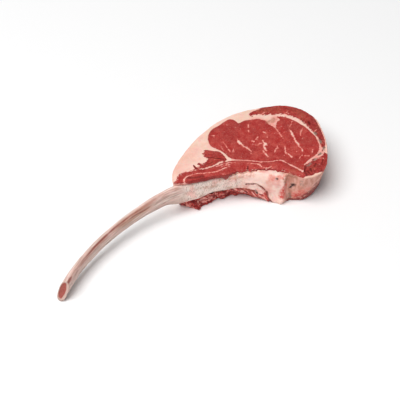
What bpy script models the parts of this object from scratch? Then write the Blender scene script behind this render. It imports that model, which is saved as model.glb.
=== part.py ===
"""A raw veal rib steak with its long rib bone left on, lying flat on its lower cut face.

The meat is a slab cut straight across the rib, so the outline of every muscle runs through its whole
thickness, with a network of fat between the muscles. The bare bone comes out of the slab's near side.
+X runs from the tip of the bone to the round end of the meat, +Y towards the fat on its outer side and
+Z up. The origin is under the middle of the whole steak. Lengths are millimetres until a mesh is made.
"""

import math

import bmesh
import bpy
import numpy as np
from mathutils import Vector
from mathutils.geometry import delaunay_2d_cdt

MILLIMETRE = 0.001
THICKNESS = 39.0            # the slab, from the board to the upper cut face
GAP = 0.3                   # free space left between two neighbouring pieces
BOARD_SKIN = 1.5            # no layer thinner than this is left between the rib and the board
ORIGIN = (0.33, 0.8)         # the middle of the steak's box, in the plan below

# Plan of the slab. Each outline passes smoothly through its own points, in millimetres.
# The third number of an outer point is how far the wall below it is set back at the board.
OUTER = (
    (-10.5, 19.8, 24), (-4, 15.6, 9), (6, 10.6, -8), (16, 6.4, -1), (26, 2.2, 4), (35, -3.6, 8), (45, -6.4, 8),
    (54.5, -10.6, 4), (62.6, -16.4, 0), (70.6, -23, -4), (78, -29.6, -4), (84.2, -38.8, -2), (88.6, -48.6, 4),
    (93, -56.6, 8), (101, -60.6, 11), (112, -60.9, 12), (122.2, -56.1, 9), (133.6, -46, 4), (145, -33, 2),
    (156, -15.2, 1), (162.6, 0, 0), (162.2, 18, 0), (154.6, 34, 0), (138.8, 46.6, 0), (120.4, 55, 0),
    (102, 60.6, 0), (84, 61.9, 0), (61.6, 59.2, 0), (41, 54, 0), (22.6, 46.6, 0), (4.6, 37.2, 1), (-6, 28, 6),
)
EYE = (
    (52.4, 37.5), (55.5, 45.5), (62, 52.4), (70, 56.4), (79, 56), (87.5, 56.6), (94, 53.2), (95.6, 48),
    (101, 44.2), (110, 40.6), (117, 35), (119.6, 28), (119.2, 21.5), (124.5, 21.2), (131, 22), (134.2, 27.6),
    (138.8, 23), (142.2, 12), (142.8, 0), (143, -12), (140, -22), (136, -31.5), (128, -37.5), (116, -40.3),
    (105, -41.8), (99.2, -46), (97.2, -39.5), (94.8, -31), (92.2, -23.2), (84, -17.9), (76, -11.9),
    (65.5, -1.5), (57.2, 8.2), (55.3, 16), (55.4, 25.5), (53.8, 31.5),
)
CAP = (
    (112, 45.8), (114.5, 50.6), (121, 51.2), (129, 48.6), (142, 40.6), (152.4, 30.8), (159, 17), (159.9, 2),
    (155.4, -11.5), (147.4, -24), (140, -34), (137.8, -35.2), (141, -28.5), (145, -18), (148, -12.5),
    (147.8, -6), (149.5, 0), (148.6, 6), (148.8, 12), (145.8, 19), (142.2, 26.2), (137, 30), (132.5, 33.8),
    (125.5, 39.6), (118.5, 43.4),
)
CHINE = (
    (93.6, -54), (98.6, -51.4), (103, -47.2), (111, -45.6), (122, -45.2), (130.6, -44.8), (129, -48),
    (121.6, -54), (112, -58.8), (101, -58.4),
)
WEDGE = (
    (27, 17.6), (26.4, 23.6), (31, 22.2), (36.5, 22.4), (38.2, 28.5), (40.5, 33), (45, 33.8), (50, 30),
    (53.2, 25.4), (53, 17), (51.8, 12.4), (47, 12), (41, 14.9), (34, 15.7),
)
RIB_LEAN = (
    (-11, 17.2), (-5.5, 21.4), (3, 24.8), (11, 23.2), (19, 19.4), (24.4, 19.4), (26, 15.6), (33, 13.5),
    (40, 12.4), (46, 9.4), (52.3, 8.8), (56.5, 4.8), (64, -3.4), (72.7, -12.5), (81.6, -20), (89.6, -24.9),
    (92, -32), (94.5, -40), (95.2, -46), (93, -48.8), (89.6, -46.2), (86.4, -40.4), (82.6, -39.6), (76, -37),
    (66, -30), (50, -20), (30, -14),
    (10, -6), (-6, 2), (-14, 8),
)
MUSCLES = {
    "eye_muscle": EYE,
    "cap_muscle": CAP,
    "chine_muscle": CHINE,
    "wedge_muscle": WEDGE,
    "rib_lean": RIB_LEAN,
}
EDGE_STEP = 3.6             # spacing of the points along an outline
WALL_STEP = 1.0             # spacing of the places on the outer wall that pull on the points near them
INNER_STEP = 8.0            # spacing of the points that carry the waves of the cut faces
CLEAR_OF_EDGE = 3.0         # no inner point stands nearer to an outline than this

# Heights where the wall has a row of points, as shares of the thickness, each with how far the rim's
# rounding pulls the wall in there.
WALL_ROWS = ((0.0, 1.6), (0.1, 0.3), (0.45, 0.0), (0.92, 0.2), (1.0, 1.5))
RIM_DROP = 0.6              # how far the upper rim sinks as it rounds over
RIM_REACH = 2.6             # how far in from the wall that rounding fades
UNDERCUT_REACH = 9.0        # how far in from the wall the set-back of its foot fades

# The wall under the bone is torn. Each wave has a depth, a length for one radian and a phase.
TEARS = ((1.5, 2.1, 0.0), (0.9, 1.17, 1.0))
TEAR_REACH = 1.6            # how far in from the wall the tears fade
TEAR_TWIST = 3.0            # radians that the tears shift from the board to the upper face
TEAR_SPAN = (0.0, 62.0)     # X where the torn stretch starts and ends
TEAR_TOP = 0.5              # share of the thickness where it ends

# The cut face isn't flat: gentle waves, each with a height and its lengths in X and Y for one radian.
FACE_WAVES = ((0.5, 17.0, 13.0), (-0.4, 41.0, 90.0))

# The rib: its middle line is an arc in plan. Stations are angles along it, and each holds the height of
# the middle, the section's thickness across, its height, and the lean of its top towards the near side.
RIB_CENTRE = (-56.3, -183.5)
RIB_RADIUS = 207.3
RIB_STATIONS = (
    (-29.1, 10.4, 9.0, 19.4, 13),
    (-24.0, 12.4, 8.2, 17.4, 11),
    (-14.0, 15.0, 7.6, 15.8, 8),
    (0.0, 19.8, 7.6, 16.0, 4),
    (12.0, 24.9, 8.8, 18.4, 0),
    (20.0, 24.6, 9.2, 19.0, 0),
    (29.2, 24.0, 9.6, 19.8, 0),
)
RIB_ROWS = 44
RIB_END_SLANT = 0.42        # how far the sawn tip's top is set back, for each millimetre of height
RIB_END_REACH = 26.0        # length over which that slant fades into the shaft

# The joint tissue: the end of the rib turns into a block of gristle along the near wall.
# Each station is X, Y, the height of the middle, the thickness across and the height.
JOINT_STATIONS = (
    (45.2, -3.6, 24.0, 9.8, 20.0),
    (53.0, -7.4, 22.4, 11.2, 24.0),
    (61.0, -13.4, 20.4, 12.6, 29.0),
    (69.0, -20.6, 19.0, 13.8, 34.4),
    (76.0, -27.8, 18.9, 14.0, 36.8),
    (81.2, -34.5, 18.9, 13.4, 36.8),
    (86.0, -42.2, 18.8, 12.0, 36.6),
)
JOINT_NOSE = 8.0            # length over which its far end rounds off
NOSE_TAPER = 0.9            # how much of the squared thickness goes there
JOINT_ROWS = 22
SECTION_POINTS = 18
BONE_SQUARENESS = 2.6       # exponent of the section: 2 is an ellipse, more is nearer to a box
JOINT_SQUARENESS = 3.4


def smooth_loop(points, spacing):
    """Points along a closed curve that runs smoothly through the given ones.

    Only the first two numbers of a point measure distance, and any further ones are carried along.
    """
    knots = np.array(points, float)
    count = len(knots)
    along = []
    for index in range(count):
        before, start, end, after = (knots[(index + step) % count] for step in (-1, 0, 1, 2))
        lead, span, tail = (
            math.sqrt(math.dist(a[:2], b[:2])) for a, b in ((before, start), (start, end), (end, after))
        )
        leave = (start - before) / lead - (end - before) / (lead + span) + (end - start) / span
        arrive = (end - start) / span - (after - start) / (span + tail) + (after - end) / tail
        pieces = max(1, round(math.dist(start[:2], end[:2]) / spacing))
        for piece in range(pieces):
            t = piece / pieces
            along.append(
                (2 * t**3 - 3 * t**2 + 1) * start
                + (t**3 - 2 * t**2 + t) * span * leave
                + (3 * t**2 - 2 * t**3) * end
                + (t**3 - t**2) * span * arrive
            )
    return np.array(along)


def inside(loop, points):
    """Which points lie inside a closed loop."""
    x, y = points[:, 0], points[:, 1]
    hit = np.zeros(len(points), bool)
    for (ax, ay), (bx, by) in zip(loop, np.roll(loop, -1, axis=0)):
        crosses = (ay > y) != (by > y)
        if crosses.any():
            hit[crosses] ^= x[crosses] < (bx - ax) * (y[crosses] - ay) / (by - ay) + ax
    return hit


def inner_points(loops):
    """A triangular grid of points inside the slab, clear of every outline."""
    outer = loops[0]
    low, high = outer.min(axis=0), outer.max(axis=0)
    rows = np.arange(low[1], high[1], INNER_STEP * math.sqrt(3) / 2)
    columns = np.arange(low[0], high[0], INNER_STEP)
    grid = np.array([(x + (row % 2) * INNER_STEP / 2, y) for row, y in enumerate(rows) for x in columns])
    grid = grid[inside(outer, grid)]
    edge = np.concatenate(loops)
    nearest = np.sqrt(((grid[:, None] - edge[None]) ** 2).sum(axis=2)).min(axis=1)
    return grid[nearest > CLEAR_OF_EDGE]


def plan_of_the_slab():
    """Triangles of the whole plan, and for each one the name of the piece that it belongs to."""
    outer = smooth_loop([point[:2] for point in OUTER], EDGE_STEP)
    muscles = {name: smooth_loop(points, EDGE_STEP) for name, points in MUSCLES.items()}
    loops = [outer, *muscles.values()]
    points, edges = [], []
    for loop in loops:
        first = len(points)
        points.extend(loop)
        edges.extend((first + i, first + (i + 1) % len(loop)) for i in range(len(loop)))
    points.extend(inner_points(loops))
    corners, _, faces, *_ = delaunay_2d_cdt([Vector(point) for point in points], edges, [], 0, 1e-4)
    corners = np.array([tuple(corner) for corner in corners])
    faces = np.array(faces)
    middles = corners[faces].mean(axis=1)
    names = np.full(len(faces), "fat_cover", dtype=object)
    for name, loop in muscles.items():
        names[inside(loop, middles)] = name
    names[~inside(outer, middles)] = None
    return corners, faces, names


def border_edges(faces):
    """Edges that only one of the faces uses, running the way that this face does."""
    edges = [(int(a), int(b)) for face in faces for a, b in zip(face, np.roll(face, -1))]
    known = set(edges)
    return [edge for edge in edges if (edge[1], edge[0]) not in known]


def pulled_in(corners, edges, distance):
    """The plan's points, with those on the given border moved inwards by a distance."""
    moved = corners.copy()
    leaving = {a: b for a, b in edges}
    arriving = {b: a for a, b in edges}
    for corner, after in leaving.items():
        before = arriving[corner]
        sides = []
        for a, b in ((before, corner), (corner, after)):
            run = corners[b] - corners[a]
            sides.append(np.array((-run[1], run[0])) / np.linalg.norm(run))
        middle = sides[0] + sides[1]
        middle /= max(np.linalg.norm(middle), 1e-6)
        moved[corner] += middle * distance / max(float(middle @ sides[0]), 0.5)
    return moved


class Wall:
    """The slab's outer wall: what it pulls along with it as it rounds over, leans and tears."""

    def __init__(self):
        loop = smooth_loop(OUTER, WALL_STEP)
        self.line, self.foot = loop[:, :2], loop[:, 2]
        run = np.roll(self.line, -1, axis=0) - np.roll(self.line, 1, axis=0)
        self.inwards = np.stack((-run[:, 1], run[:, 0]), axis=1) / np.linalg.norm(run, axis=1)[:, None]

    def pull(self, points, amounts, reach):
        """How far each point moves, and its nearness to the wall, from 1 on it to 0 inside."""
        apart = ((points[:, None] - self.line[None]) ** 2).sum(axis=2)
        weight = np.exp(-apart / (2 * reach**2))
        total = np.maximum(weight.sum(axis=1), reach * math.sqrt(2 * math.pi) / WALL_STEP)
        return (weight @ (self.inwards * amounts[:, None])) / total[:, None], weight.sum(axis=1) / total

    def place(self, points, share, rim):
        """Plan points carried to their place at a share of the thickness."""
        along = self.line[:, 0]
        torn = (self.inwards[:, 1] > 0) & (along > TEAR_SPAN[0]) & (along < TEAR_SPAN[1])
        tear = sum(depth * np.sin(along / length + phase + TEAR_TWIST * share) for depth, length, phase in TEARS)
        leaning, _ = self.pull(points, self.foot * (1 - share), UNDERCUT_REACH)
        tearing, _ = self.pull(points, tear * torn * max(0.0, 1 - share / TEAR_TOP), TEAR_REACH)
        rounding, nearness = self.pull(points, np.full(len(self.line), rim), RIM_REACH)
        x, y = points.T
        wave = sum(height * np.sin(x / long) * np.cos(y / wide) for height, long, wide in FACE_WAVES)
        height = share * (THICKNESS + wave) - RIM_DROP * nearness * (share == 1)
        return np.column_stack((points + leaning + tearing + rounding, height))


def slab_piece(name, corners, faces, wall):
    """One muscle or the fat: its part of the plan, carried through the whole thickness."""
    edges = border_edges(faces)
    plan = pulled_in(corners, edges, GAP / 2)
    whole = np.unique(faces)
    border = np.unique(edges)
    rows, points = [], []
    for share, rim in WALL_ROWS:
        here = whole if share in (0, 1) else border
        rows.append({int(corner): len(points) + index for index, corner in enumerate(here)})
        points.extend(wall.place(plan[here], share, rim))
    polygons = [tuple(rows[-1][int(corner)] for corner in face) for face in faces]
    polygons += [tuple(rows[0][int(corner)] for corner in reversed(face)) for face in faces]
    for low, high in zip(rows, rows[1:]):
        polygons += [(low[a], low[b], high[b], high[a]) for a, b in edges]
    return mesh_object(name, points, polygons)


def mesh_object(name, points, polygons):
    """An object whose mesh has these points, given in millimetres in the plan's frame."""
    shifted = (np.array(points) - (*ORIGIN, 0)) * MILLIMETRE
    mesh = bpy.data.meshes.new(name)
    mesh.from_pydata([tuple(point) for point in shifted], [], polygons)
    body = bmesh.new()
    body.from_mesh(mesh)
    bmesh.ops.triangulate(body, faces=body.faces)
    bmesh.ops.recalc_face_normals(body, faces=body.faces)
    body.to_mesh(mesh)
    body.free()
    piece = bpy.data.objects.new(name, mesh)
    bpy.context.scene.collection.objects.link(piece)
    return piece


def eased(stations, at):
    """Each column of the stations' numbers at a place among them, without corners."""
    stations = np.array(stations, float)
    keys = stations[:, 0]
    slopes = np.gradient(stations, keys, axis=0)
    index = int(np.clip(np.searchsorted(keys, at) - 1, 0, len(keys) - 2))
    width = keys[index + 1] - keys[index]
    t = (at - keys[index]) / width
    return (
        (2 * t**3 - 3 * t**2 + 1) * stations[index]
        + (t**3 - 2 * t**2 + t) * width * slopes[index]
        + (3 * t**2 - 2 * t**3) * stations[index + 1]
        + (t**3 - t**2) * width * slopes[index + 1]
    )[1:]


def section(across, height, squareness):
    """A rounded section's points: sideways and up from its middle."""
    ring = []
    for step in range(SECTION_POINTS):
        angle = 2 * math.pi * step / SECTION_POINTS
        side, up = math.cos(angle), math.sin(angle)
        ring.append((
            across / 2 * math.copysign(abs(side) ** (2 / squareness), side),
            height / 2 * math.copysign(abs(up) ** (2 / squareness), up),
        ))
    return ring


def tube(name, rings):
    """A closed solid through rings of points, with a flat face on each end."""
    count = len(rings[0])
    points = [point for ring in rings for point in ring]
    polygons = [tuple(range(count)), tuple(reversed(range(len(points) - count, len(points))))]
    for row in range(len(rings) - 1):
        for step in range(count):
            after = (step + 1) % count
            low, high = row * count, (row + 1) * count
            polygons.append((low + step, high + step, high + after, low + after))
    return mesh_object(name, points, polygons)


def over_the_board(height, grown):
    """A height kept just over the board, or for a cutter that comes near the board, one below it."""
    if not grown:
        return max(height, GAP)
    return height if height > BOARD_SKIN else -BOARD_SKIN


def rib_bone(name, grown=0.0):
    """The rib, or a cutter that is larger than it all round."""
    start, end = RIB_STATIONS[0][0], RIB_STATIONS[-1][0]
    extra = math.degrees(grown / RIB_RADIUS)
    rings = []
    for row in range(RIB_ROWS + 1):
        angle = start - extra + (end - start + 2 * extra) * row / RIB_ROWS
        middle, across, height, lean = eased(RIB_STATIONS, min(max(angle, start), end))
        turn = math.radians(angle)
        outwards = np.array((math.sin(turn), math.cos(turn), 0))
        forwards = np.array((math.cos(turn), -math.sin(turn), 0))
        centre = np.array((*RIB_CENTRE, middle)) + RIB_RADIUS * outwards
        from_tip = math.radians(angle - start) * RIB_RADIUS
        slant = RIB_END_SLANT * max(0.0, 1 - from_tip / RIB_END_REACH) ** 2
        tilt = math.radians(lean)
        ring = []
        for side, up in section(across + 2 * grown, height + 2 * grown, BONE_SQUARENESS):
            sideways = side * math.cos(tilt) - up * math.sin(tilt)
            upwards = side * math.sin(tilt) + up * math.cos(tilt)
            point = centre + outwards * sideways + forwards * slant * up
            point[2] = over_the_board(point[2] + upwards, grown)
            ring.append(point)
        rings.append(ring)
    return tube(name, rings)


def joint_tissue(name, grown=0.0):
    """The gristle at the end of the rib, or a cutter that is larger than it all round."""
    stations = np.array(JOINT_STATIONS, float)
    runs = np.linalg.norm(np.diff(stations[:, :2], axis=0), axis=1)
    keyed = np.column_stack((np.concatenate(([0.0], np.cumsum(runs))), stations))
    length = keyed[-1, 0]
    rings = []
    for row in range(JOINT_ROWS + 1):
        at = length * row / JOINT_ROWS
        x, y, middle, across, height = eased(keyed, at)
        ahead = eased(keyed, min(at + 1, length))[:2] - eased(keyed, max(at - 1, 0.0))[:2]
        forwards = np.array((*ahead, 0)) / np.linalg.norm(ahead)
        sideways = np.array((-forwards[1], forwards[0], 0))
        beyond = grown * ((row == JOINT_ROWS) - (row == 0))
        centre = np.array((x, y, middle)) + forwards * beyond
        into_nose = max(0.0, (at - length + JOINT_NOSE) / JOINT_NOSE)
        nose = math.sqrt(1 - NOSE_TAPER * into_nose**2)
        ring = []
        for side, up in section(across + 2 * grown, height + 2 * grown, JOINT_SQUARENESS):
            point = centre + sideways * side * nose
            point[2] = over_the_board(point[2] + up, grown)
            ring.append(point)
        rings.append(ring)
    return tube(name, rings)


def cut_away(piece, cutters):
    """Take the cutters' shapes out of a piece for good."""
    for cutter in cutters:
        cut = piece.modifiers.new("Cut", "BOOLEAN")
        cut.operation = "DIFFERENCE"
        cut.object = cutter
    bpy.context.view_layer.update()
    result = bpy.data.meshes.new_from_object(piece.evaluated_get(bpy.context.evaluated_depsgraph_get()))
    piece.modifiers.clear()
    piece.data = result


def surface(name, colour, roughness):
    """A plain material."""
    material = bpy.data.materials.new(name)
    material.use_nodes = True
    shader = material.node_tree.nodes["Principled BSDF"]
    shader.inputs["Base Color"].default_value = (*colour, 1)
    shader.inputs["Roughness"].default_value = roughness
    shader.inputs["Metallic"].default_value = 0.0
    return material


def build():
    """Make every piece of the steak."""
    lean = surface("lean", (0.43, 0.045, 0.04), 0.35)
    dark_lean = surface("dark_lean", (0.28, 0.02, 0.02), 0.35)
    fat = surface("fat", (0.9, 0.62, 0.52), 0.45)
    bone = surface("bone", (0.7, 0.56, 0.5), 0.5)
    gristle = surface("gristle", (0.8, 0.48, 0.42), 0.4)
    looks = {"fat_cover": fat, "chine_muscle": dark_lean}

    wall = Wall()
    corners, faces, names = plan_of_the_slab()
    pieces = {}
    for name in ("fat_cover", *MUSCLES):
        pieces[name] = slab_piece(name, corners, faces[names == name], wall)
        pieces[name].data.materials.append(looks.get(name, lean))

    rib_bone("rib_bone").data.materials.append(bone)
    joint_tissue("joint_tissue").data.materials.append(gristle)

    cutters = [rib_bone("rib_cutter", GAP), joint_tissue("joint_cutter", GAP)]
    for name in ("fat_cover", "rib_lean", "chine_muscle"):
        cut_away(pieces[name], cutters)
    for cutter in cutters:
        bpy.data.objects.remove(cutter)


for old in list(bpy.data.objects):
    bpy.data.objects.remove(old)
build()
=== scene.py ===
"""Looks of a raw veal rib steak that lies on its lower cut face, with its long bare rib bone.

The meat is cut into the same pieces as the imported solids, from the same outlines, on a much finer mesh.
Plans and heights are millimetres until a mesh is made. The plan's X runs from the tip of the bone to the
round end of the meat and its Y towards the outer fat. Every point carries a few measures, such as how far
it lies from the edge of a muscle or a vein of fat, and the materials turn these into colour.
"""

import math

import bpy
import numpy as np
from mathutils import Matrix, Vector
from mathutils.geometry import delaunay_2d_cdt


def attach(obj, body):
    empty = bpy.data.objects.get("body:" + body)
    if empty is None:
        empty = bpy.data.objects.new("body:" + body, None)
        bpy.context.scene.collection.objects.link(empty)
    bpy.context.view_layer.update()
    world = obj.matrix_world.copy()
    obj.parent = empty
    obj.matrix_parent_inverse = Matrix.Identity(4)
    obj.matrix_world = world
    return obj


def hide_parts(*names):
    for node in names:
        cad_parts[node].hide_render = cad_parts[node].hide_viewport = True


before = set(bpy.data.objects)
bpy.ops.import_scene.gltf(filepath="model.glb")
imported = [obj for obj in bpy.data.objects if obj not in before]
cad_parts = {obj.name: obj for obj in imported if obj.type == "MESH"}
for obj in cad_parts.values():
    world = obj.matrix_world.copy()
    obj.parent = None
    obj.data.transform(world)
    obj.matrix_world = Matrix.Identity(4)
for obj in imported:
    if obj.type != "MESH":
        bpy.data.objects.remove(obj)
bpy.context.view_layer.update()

MILLIMETRE = 0.001

# ---- Sizes of the slab, as in the solids ----
THICKNESS = 39.0  # from the board to the upper cut face
ORIGIN = (0.33, 0.8)  # the middle of the steak's box, in the plan

# The third number of an outer point is how far the wall below it is set back at the board.
OUTER = (
    (-10.5, 19.8, 24), (-4, 15.6, 9), (6, 10.6, -8), (16, 6.4, -1), (26, 2.2, 4), (35, -3.6, 8),
    (45, -6.4, 8), (54.5, -10.6, 4), (62.6, -16.4, 0), (70.6, -23, -4), (78, -29.6, -4), (84.2, -38.8, -2),
    (88.6, -48.6, 4), (93, -56.6, 8), (101, -60.6, 11), (112, -60.9, 12), (122.2, -56.1, 9),
    (133.6, -46, 4), (145, -33, 2), (156, -15.2, 1), (162.6, 0, 0), (162.2, 18, 0), (154.6, 34, 0),
    (138.8, 46.6, 0), (120.4, 55, 0), (102, 60.6, 0), (84, 61.9, 0), (61.6, 59.2, 0), (41, 54, 0),
    (22.6, 46.6, 0), (4.6, 37.2, 1), (-6, 28, 6),
)
EYE = (
    (52.4, 37.5), (55.5, 45.5), (62, 52.4), (70, 56.4), (79, 56), (87.5, 56.6), (94, 53.2), (95.6, 48),
    (101, 44.2), (110, 40.6), (117, 35), (119.6, 28), (119.2, 21.5), (124.5, 21.2), (131, 22),
    (134.2, 27.6), (138.8, 23), (142.2, 12), (142.8, 0), (143, -12), (140, -22), (136, -31.5), (128, -37.5),
    (116, -40.3), (105, -41.8), (99.2, -46), (97.2, -39.5), (94.8, -31), (92.2, -23.2), (84, -17.9),
    (76, -11.9), (65.5, -1.5), (57.2, 8.2), (55.3, 16), (55.4, 25.5), (53.8, 31.5),
)
CAP = (
    (112, 45.8), (114.5, 50.6), (121, 51.2), (129, 48.6), (142, 40.6), (152.4, 30.8), (159, 17), (159.9, 2),
    (155.4, -11.5), (147.4, -24), (140, -34), (137.8, -35.2), (141, -28.5), (145, -18), (148, -12.5),
    (147.8, -6), (149.5, 0), (148.6, 6), (148.8, 12), (145.8, 19), (142.2, 26.2), (137, 30), (132.5, 33.8),
    (125.5, 39.6), (118.5, 43.4),
)
CHINE = (
    (93.6, -54), (98.6, -51.4), (103, -47.2), (111, -45.6), (122, -45.2), (130.6, -44.8), (129, -48),
    (121.6, -54), (112, -58.8), (101, -58.4),
)
WEDGE = (
    (27, 17.6), (26.4, 23.6), (31, 22.2), (36.5, 22.4), (38.2, 28.5), (40.5, 33), (45, 33.8), (50, 30),
    (53.2, 25.4), (53, 17), (51.8, 12.4), (47, 12), (41, 14.9), (34, 15.7),
)
RIB_LEAN = (
    (-11, 17.2), (-5.5, 21.4), (3, 24.8), (11, 23.2), (19, 19.4), (24.4, 19.4), (26, 15.6), (33, 13.5),
    (40, 12.4), (46, 9.4), (52.3, 8.8), (56.5, 4.8), (64, -3.4), (72.7, -12.5), (81.6, -20), (89.6, -24.9),
    (92, -32), (94.5, -40), (95.2, -46), (93, -48.8), (89.6, -46.2), (86.4, -40.4), (82.6, -39.6),
    (76, -37), (66, -30), (50, -20), (30, -14), (10, -6), (-6, 2), (-14, 8),
)
MUSCLES = {
    "eye_muscle": EYE,
    "cap_muscle": CAP,
    "chine_muscle": CHINE,
    "wedge_muscle": WEDGE,
    "rib_lean": RIB_LEAN,
}

# ---- Outlines of the colours on the upper cut face ----
# They follow the solids' outlines, with thinner seams and more of the ragged edges.
EYE_COLOUR = (
    *EYE[:5], (87.5, 57), (92.6, 57), (95.4, 54), (96, 50.5), (95.6, 47.5), (96, 45.4), (98, 45),
    (101.4, 45), (105.2, 44.2), (110, 41.6), (116.5, 38), (118.5, 34.5), (120.5, 31.5), (119.5, 28),
    (119, 23), (119.5, 19), (120, 16), (124, 19), (128.5, 21.5), (132, 22), (133.5, 26), (133.5, 28),
    (137, 25.5), (139.5, 20.5), (141, 16.5), (142.5, 10.5), (143.2, 3.5), (143.8, -2.5), (143.8, -7),
    (143, -13), (141.4, -20), (138.6, -26.5), (135, -31.6), (130.5, -36), (126, -38), (120, -39.2),
    (112.5, -40), (106, -41.2), (101.5, -43.8), (98, -46.5), (97, -44), (96, -38), (94.5, -32),
    (93.5, -27.5), (93, -23.5), (90, -21), (86, -18.5), (81, -15.3), (76.5, -11.5), (72, -6.5), (67, -1),
    (61.2, 4.3), (57, 9.5), (55.3, 13), (55.6, 18.5), (55.6, 24.5), (53.8, 31.5),
)
CAP_COLOUR = (
    (113, 46), (114.5, 49.5), (119, 50.8), (125, 51.6), (131.5, 50.6), (139.8, 50), (148.5, 43.5),
    (157.2, 36), (162.4, 27.5), (164.8, 19), (164, 8), (161.9, -1.5), (158.9, -8.6), (155.3, -15.6),
    (150, -24.8), (144.6, -32.6), (141, -36.4), (136.6, -37.8), (136.6, -34.6), (138.8, -30.2),
    (141.8, -24.6), (144.2, -19), (145, -13.5), (145.6, -8.3), (146.8, -3), (147.6, 2.5), (147.8, 7.5),
    (147.4, 12.5), (146, 17), (144.4, 21.5), (141.8, 26.5), (138.8, 30), (134.6, 32.6), (130.8, 35.4),
    (127, 38.4), (124, 42), (120.5, 44.5), (116, 46),
)
CHINE_COLOUR = (
    (104, -43.1), (99, -48), (95, -51.5), (91, -53.8), (94.4, -56), (98.4, -58.6), (103, -58.8),
    (106.8, -59.2), (112, -61), (117.5, -59), (123, -56), (128.5, -51.2), (134, -46), (133.4, -43),
    (129, -43.4), (124.6, -44), (119.5, -44), (114.5, -43.8), (109.5, -43.1), (106.5, -42.8),
)
WEDGE_COLOUR = (
    (41.5, 35), (44.5, 35.5), (47, 33.5), (49.5, 30), (53, 26), (53.2, 22), (52.3, 16.5), (50.5, 12),
    (47.5, 12.5), (44, 14.5), (40, 14.5), (35.5, 14.5), (31, 15.5), (26.5, 17), (22.5, 19), (19, 20.5),
    (20, 23.5), (23.5, 22), (26.5, 25), (29.5, 23), (33.5, 22.5), (37, 24.5), (38, 28), (37.5, 31),
    (39.5, 33.5),
)
RIB_LEAN_COLOUR = (
    (-12.5, 18.5), (-8.5, 20.5), (-5.5, 21.5), (-2, 23.5), (2.5, 25), (6, 25.5), (11, 23.5), (15.5, 21.5),
    (19.5, 20.5), (22.5, 18), (26, 15.5), (29.5, 14), (34.5, 12.7), (38.5, 12.2), (43.5, 12), (48.5, 10.8),
    (53, 8.6), (58.8, 4.6), (63.4, 0.3), (67.5, -3.8), (72, -9), (76, -12.6), (80, -16.4), (86.3, -20.1),
    (90.5, -23), (91.7, -26), (92, -29.5), (93, -34), (94, -39.5), (95, -46), (95.6, -51.6), (91.4, -54.6),
    (88, -48.8), (83.6, -39.2), (80.4, -34.6), (76.6, -29.5), (69.7, -22.7), (61.8, -16), (54, -10.6),
    (46, -8), (40, -10), (34, -14), (30, -14), (10, -6), (-6, 2), (-14, 8),
)
COLOUR_OUTLINES = (EYE_COLOUR, RIB_LEAN_COLOUR)
DARK_COLOUR_OUTLINES = (CAP_COLOUR, CHINE_COLOUR, WEDGE_COLOUR)

SLOTS = {
    "eye_muscle": "lean",
    "rib_lean": "lean",
    "cap_muscle": "dark_lean",
    "chine_muscle": "dark_lean",
    "wedge_muscle": "dark_lean",
    "fat_cover": "fat",
}

# ---- Fineness of the meshes ----
OUTER_STEP = 0.65  # spacing along the outer wall
SEAM_STEP = 0.9  # spacing along the muscles
GRID_STEP = 0.6  # spacing of the points inside a cut face
CLEAR_OF_EDGE = 0.4  # no inner point stands nearer to an outline than this
WALL_STEP = 1.0  # spacing of the places on the outer wall that pull on the points near them
WALL_ROWS = 46  # rows of points up the outer wall
SEAM_ROWS = 8  # rows up a wall between two pieces, which never shows
ROW_CROWDING = 0.55  # how much nearer together the rows stand at the rims
SAME_PLACE = 1e-4  # points of the plan that are nearer to each other than this are one
ON_OUTLINE = 0.35  # a corner nearer to the outer wall than this stands on it
BORDER_SHARE = 0.1  # share of its corners on the outer wall from which a border counts as part of it
PARTS = 40  # parts in which the distances of many points are worked out, to save memory

# ---- The outer wall, as in the solids ----
UNDERCUT_REACH = 9.0  # how far in from the wall the set-back of its foot fades
RIM_REACH = 2.6  # how far in from the wall its rounding fades
RIM_ROUND = 1.5  # how far the rounded rim is pulled in
RIM_HEIGHT = 3.2  # height over which it rounds
RIM_DROP = 0.8  # how far the upper rim sinks
TEARS = ((1.5, 2.1, 0.0), (0.9, 1.17, 1.0))  # depth, length for one radian and phase of each wave
TEAR_REACH = 1.6  # how far in from the wall a tear fades
TEAR_TWIST = 3.0  # how far the tears slant up the wall, in radians over the thickness
TEAR_SPAN = (0.0, 62.0)  # X between which the near wall is torn
TEAR_TOP = 0.5  # share of the thickness where the tears have faded out
FACE_WAVES = ((0.5, 17.0, 13.0), (-0.4, 41.0, 90.0))  # height and lengths along X and Y, for one radian

# ---- The slab's surface, beyond the solids' ----
# Shares are shares of the thickness. Four numbers are where a thing starts, is full, eases and ends.
MUSCLE_SWELL = 0.35  # how far a muscle swells between its seams
SWELL_REACH = 5.0  # how far from its seam it has mostly swollen
FAT_RISE = (0.1, 1.5)  # how far fat stands proud, and how far from the lean it does so in full
VEIN_RISE = (0.12, 0.4)  # how far a vein of fat does, and half the width of its slopes
FACE_SINK = 0.45  # how far all of this is let into the cut face
RAGGED_SHARES = (0.0, 0.03, 0.4, 0.52)  # where the wall under the rib is ragged
JAGGED_SHARES = (0.85, 0.93)  # where the rim over the joint tissue starts to be jagged, and is fully
JAGGED_X = (40.0, 48.0, 84.0, 90.0)  # X of this stretch
GRAIN_DEPTH = (0.2, 1.5)  # depths in the lean where its grain starts and is full
FACE_SHARES = (0.9, 1.0)  # where the upper cut face's relief starts and is full
UNDER_SHARES = (0.1, 0.0)  # and where the lower one's does
UNDER_RELIEF = (0.1, 0.6)  # the lower face's hollow where relief is 0, and how much each millimetre fills it
HOLLOW = 0.6  # the lower face's deepest hollow
# Nearness to the wall, from 0 to 1, where a point starts to count and counts fully: as on it, and as by it.
ON_WALL = (0.55, 0.95)
BY_WALL = (0.4, 0.9)
PULLED_IN = (0.0, 0.3)  # and the same for being drawn in behind the bone
WALL_SHARES = (0.001, 0.985)  # the outer wall's colour lies between these shares of the thickness

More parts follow.
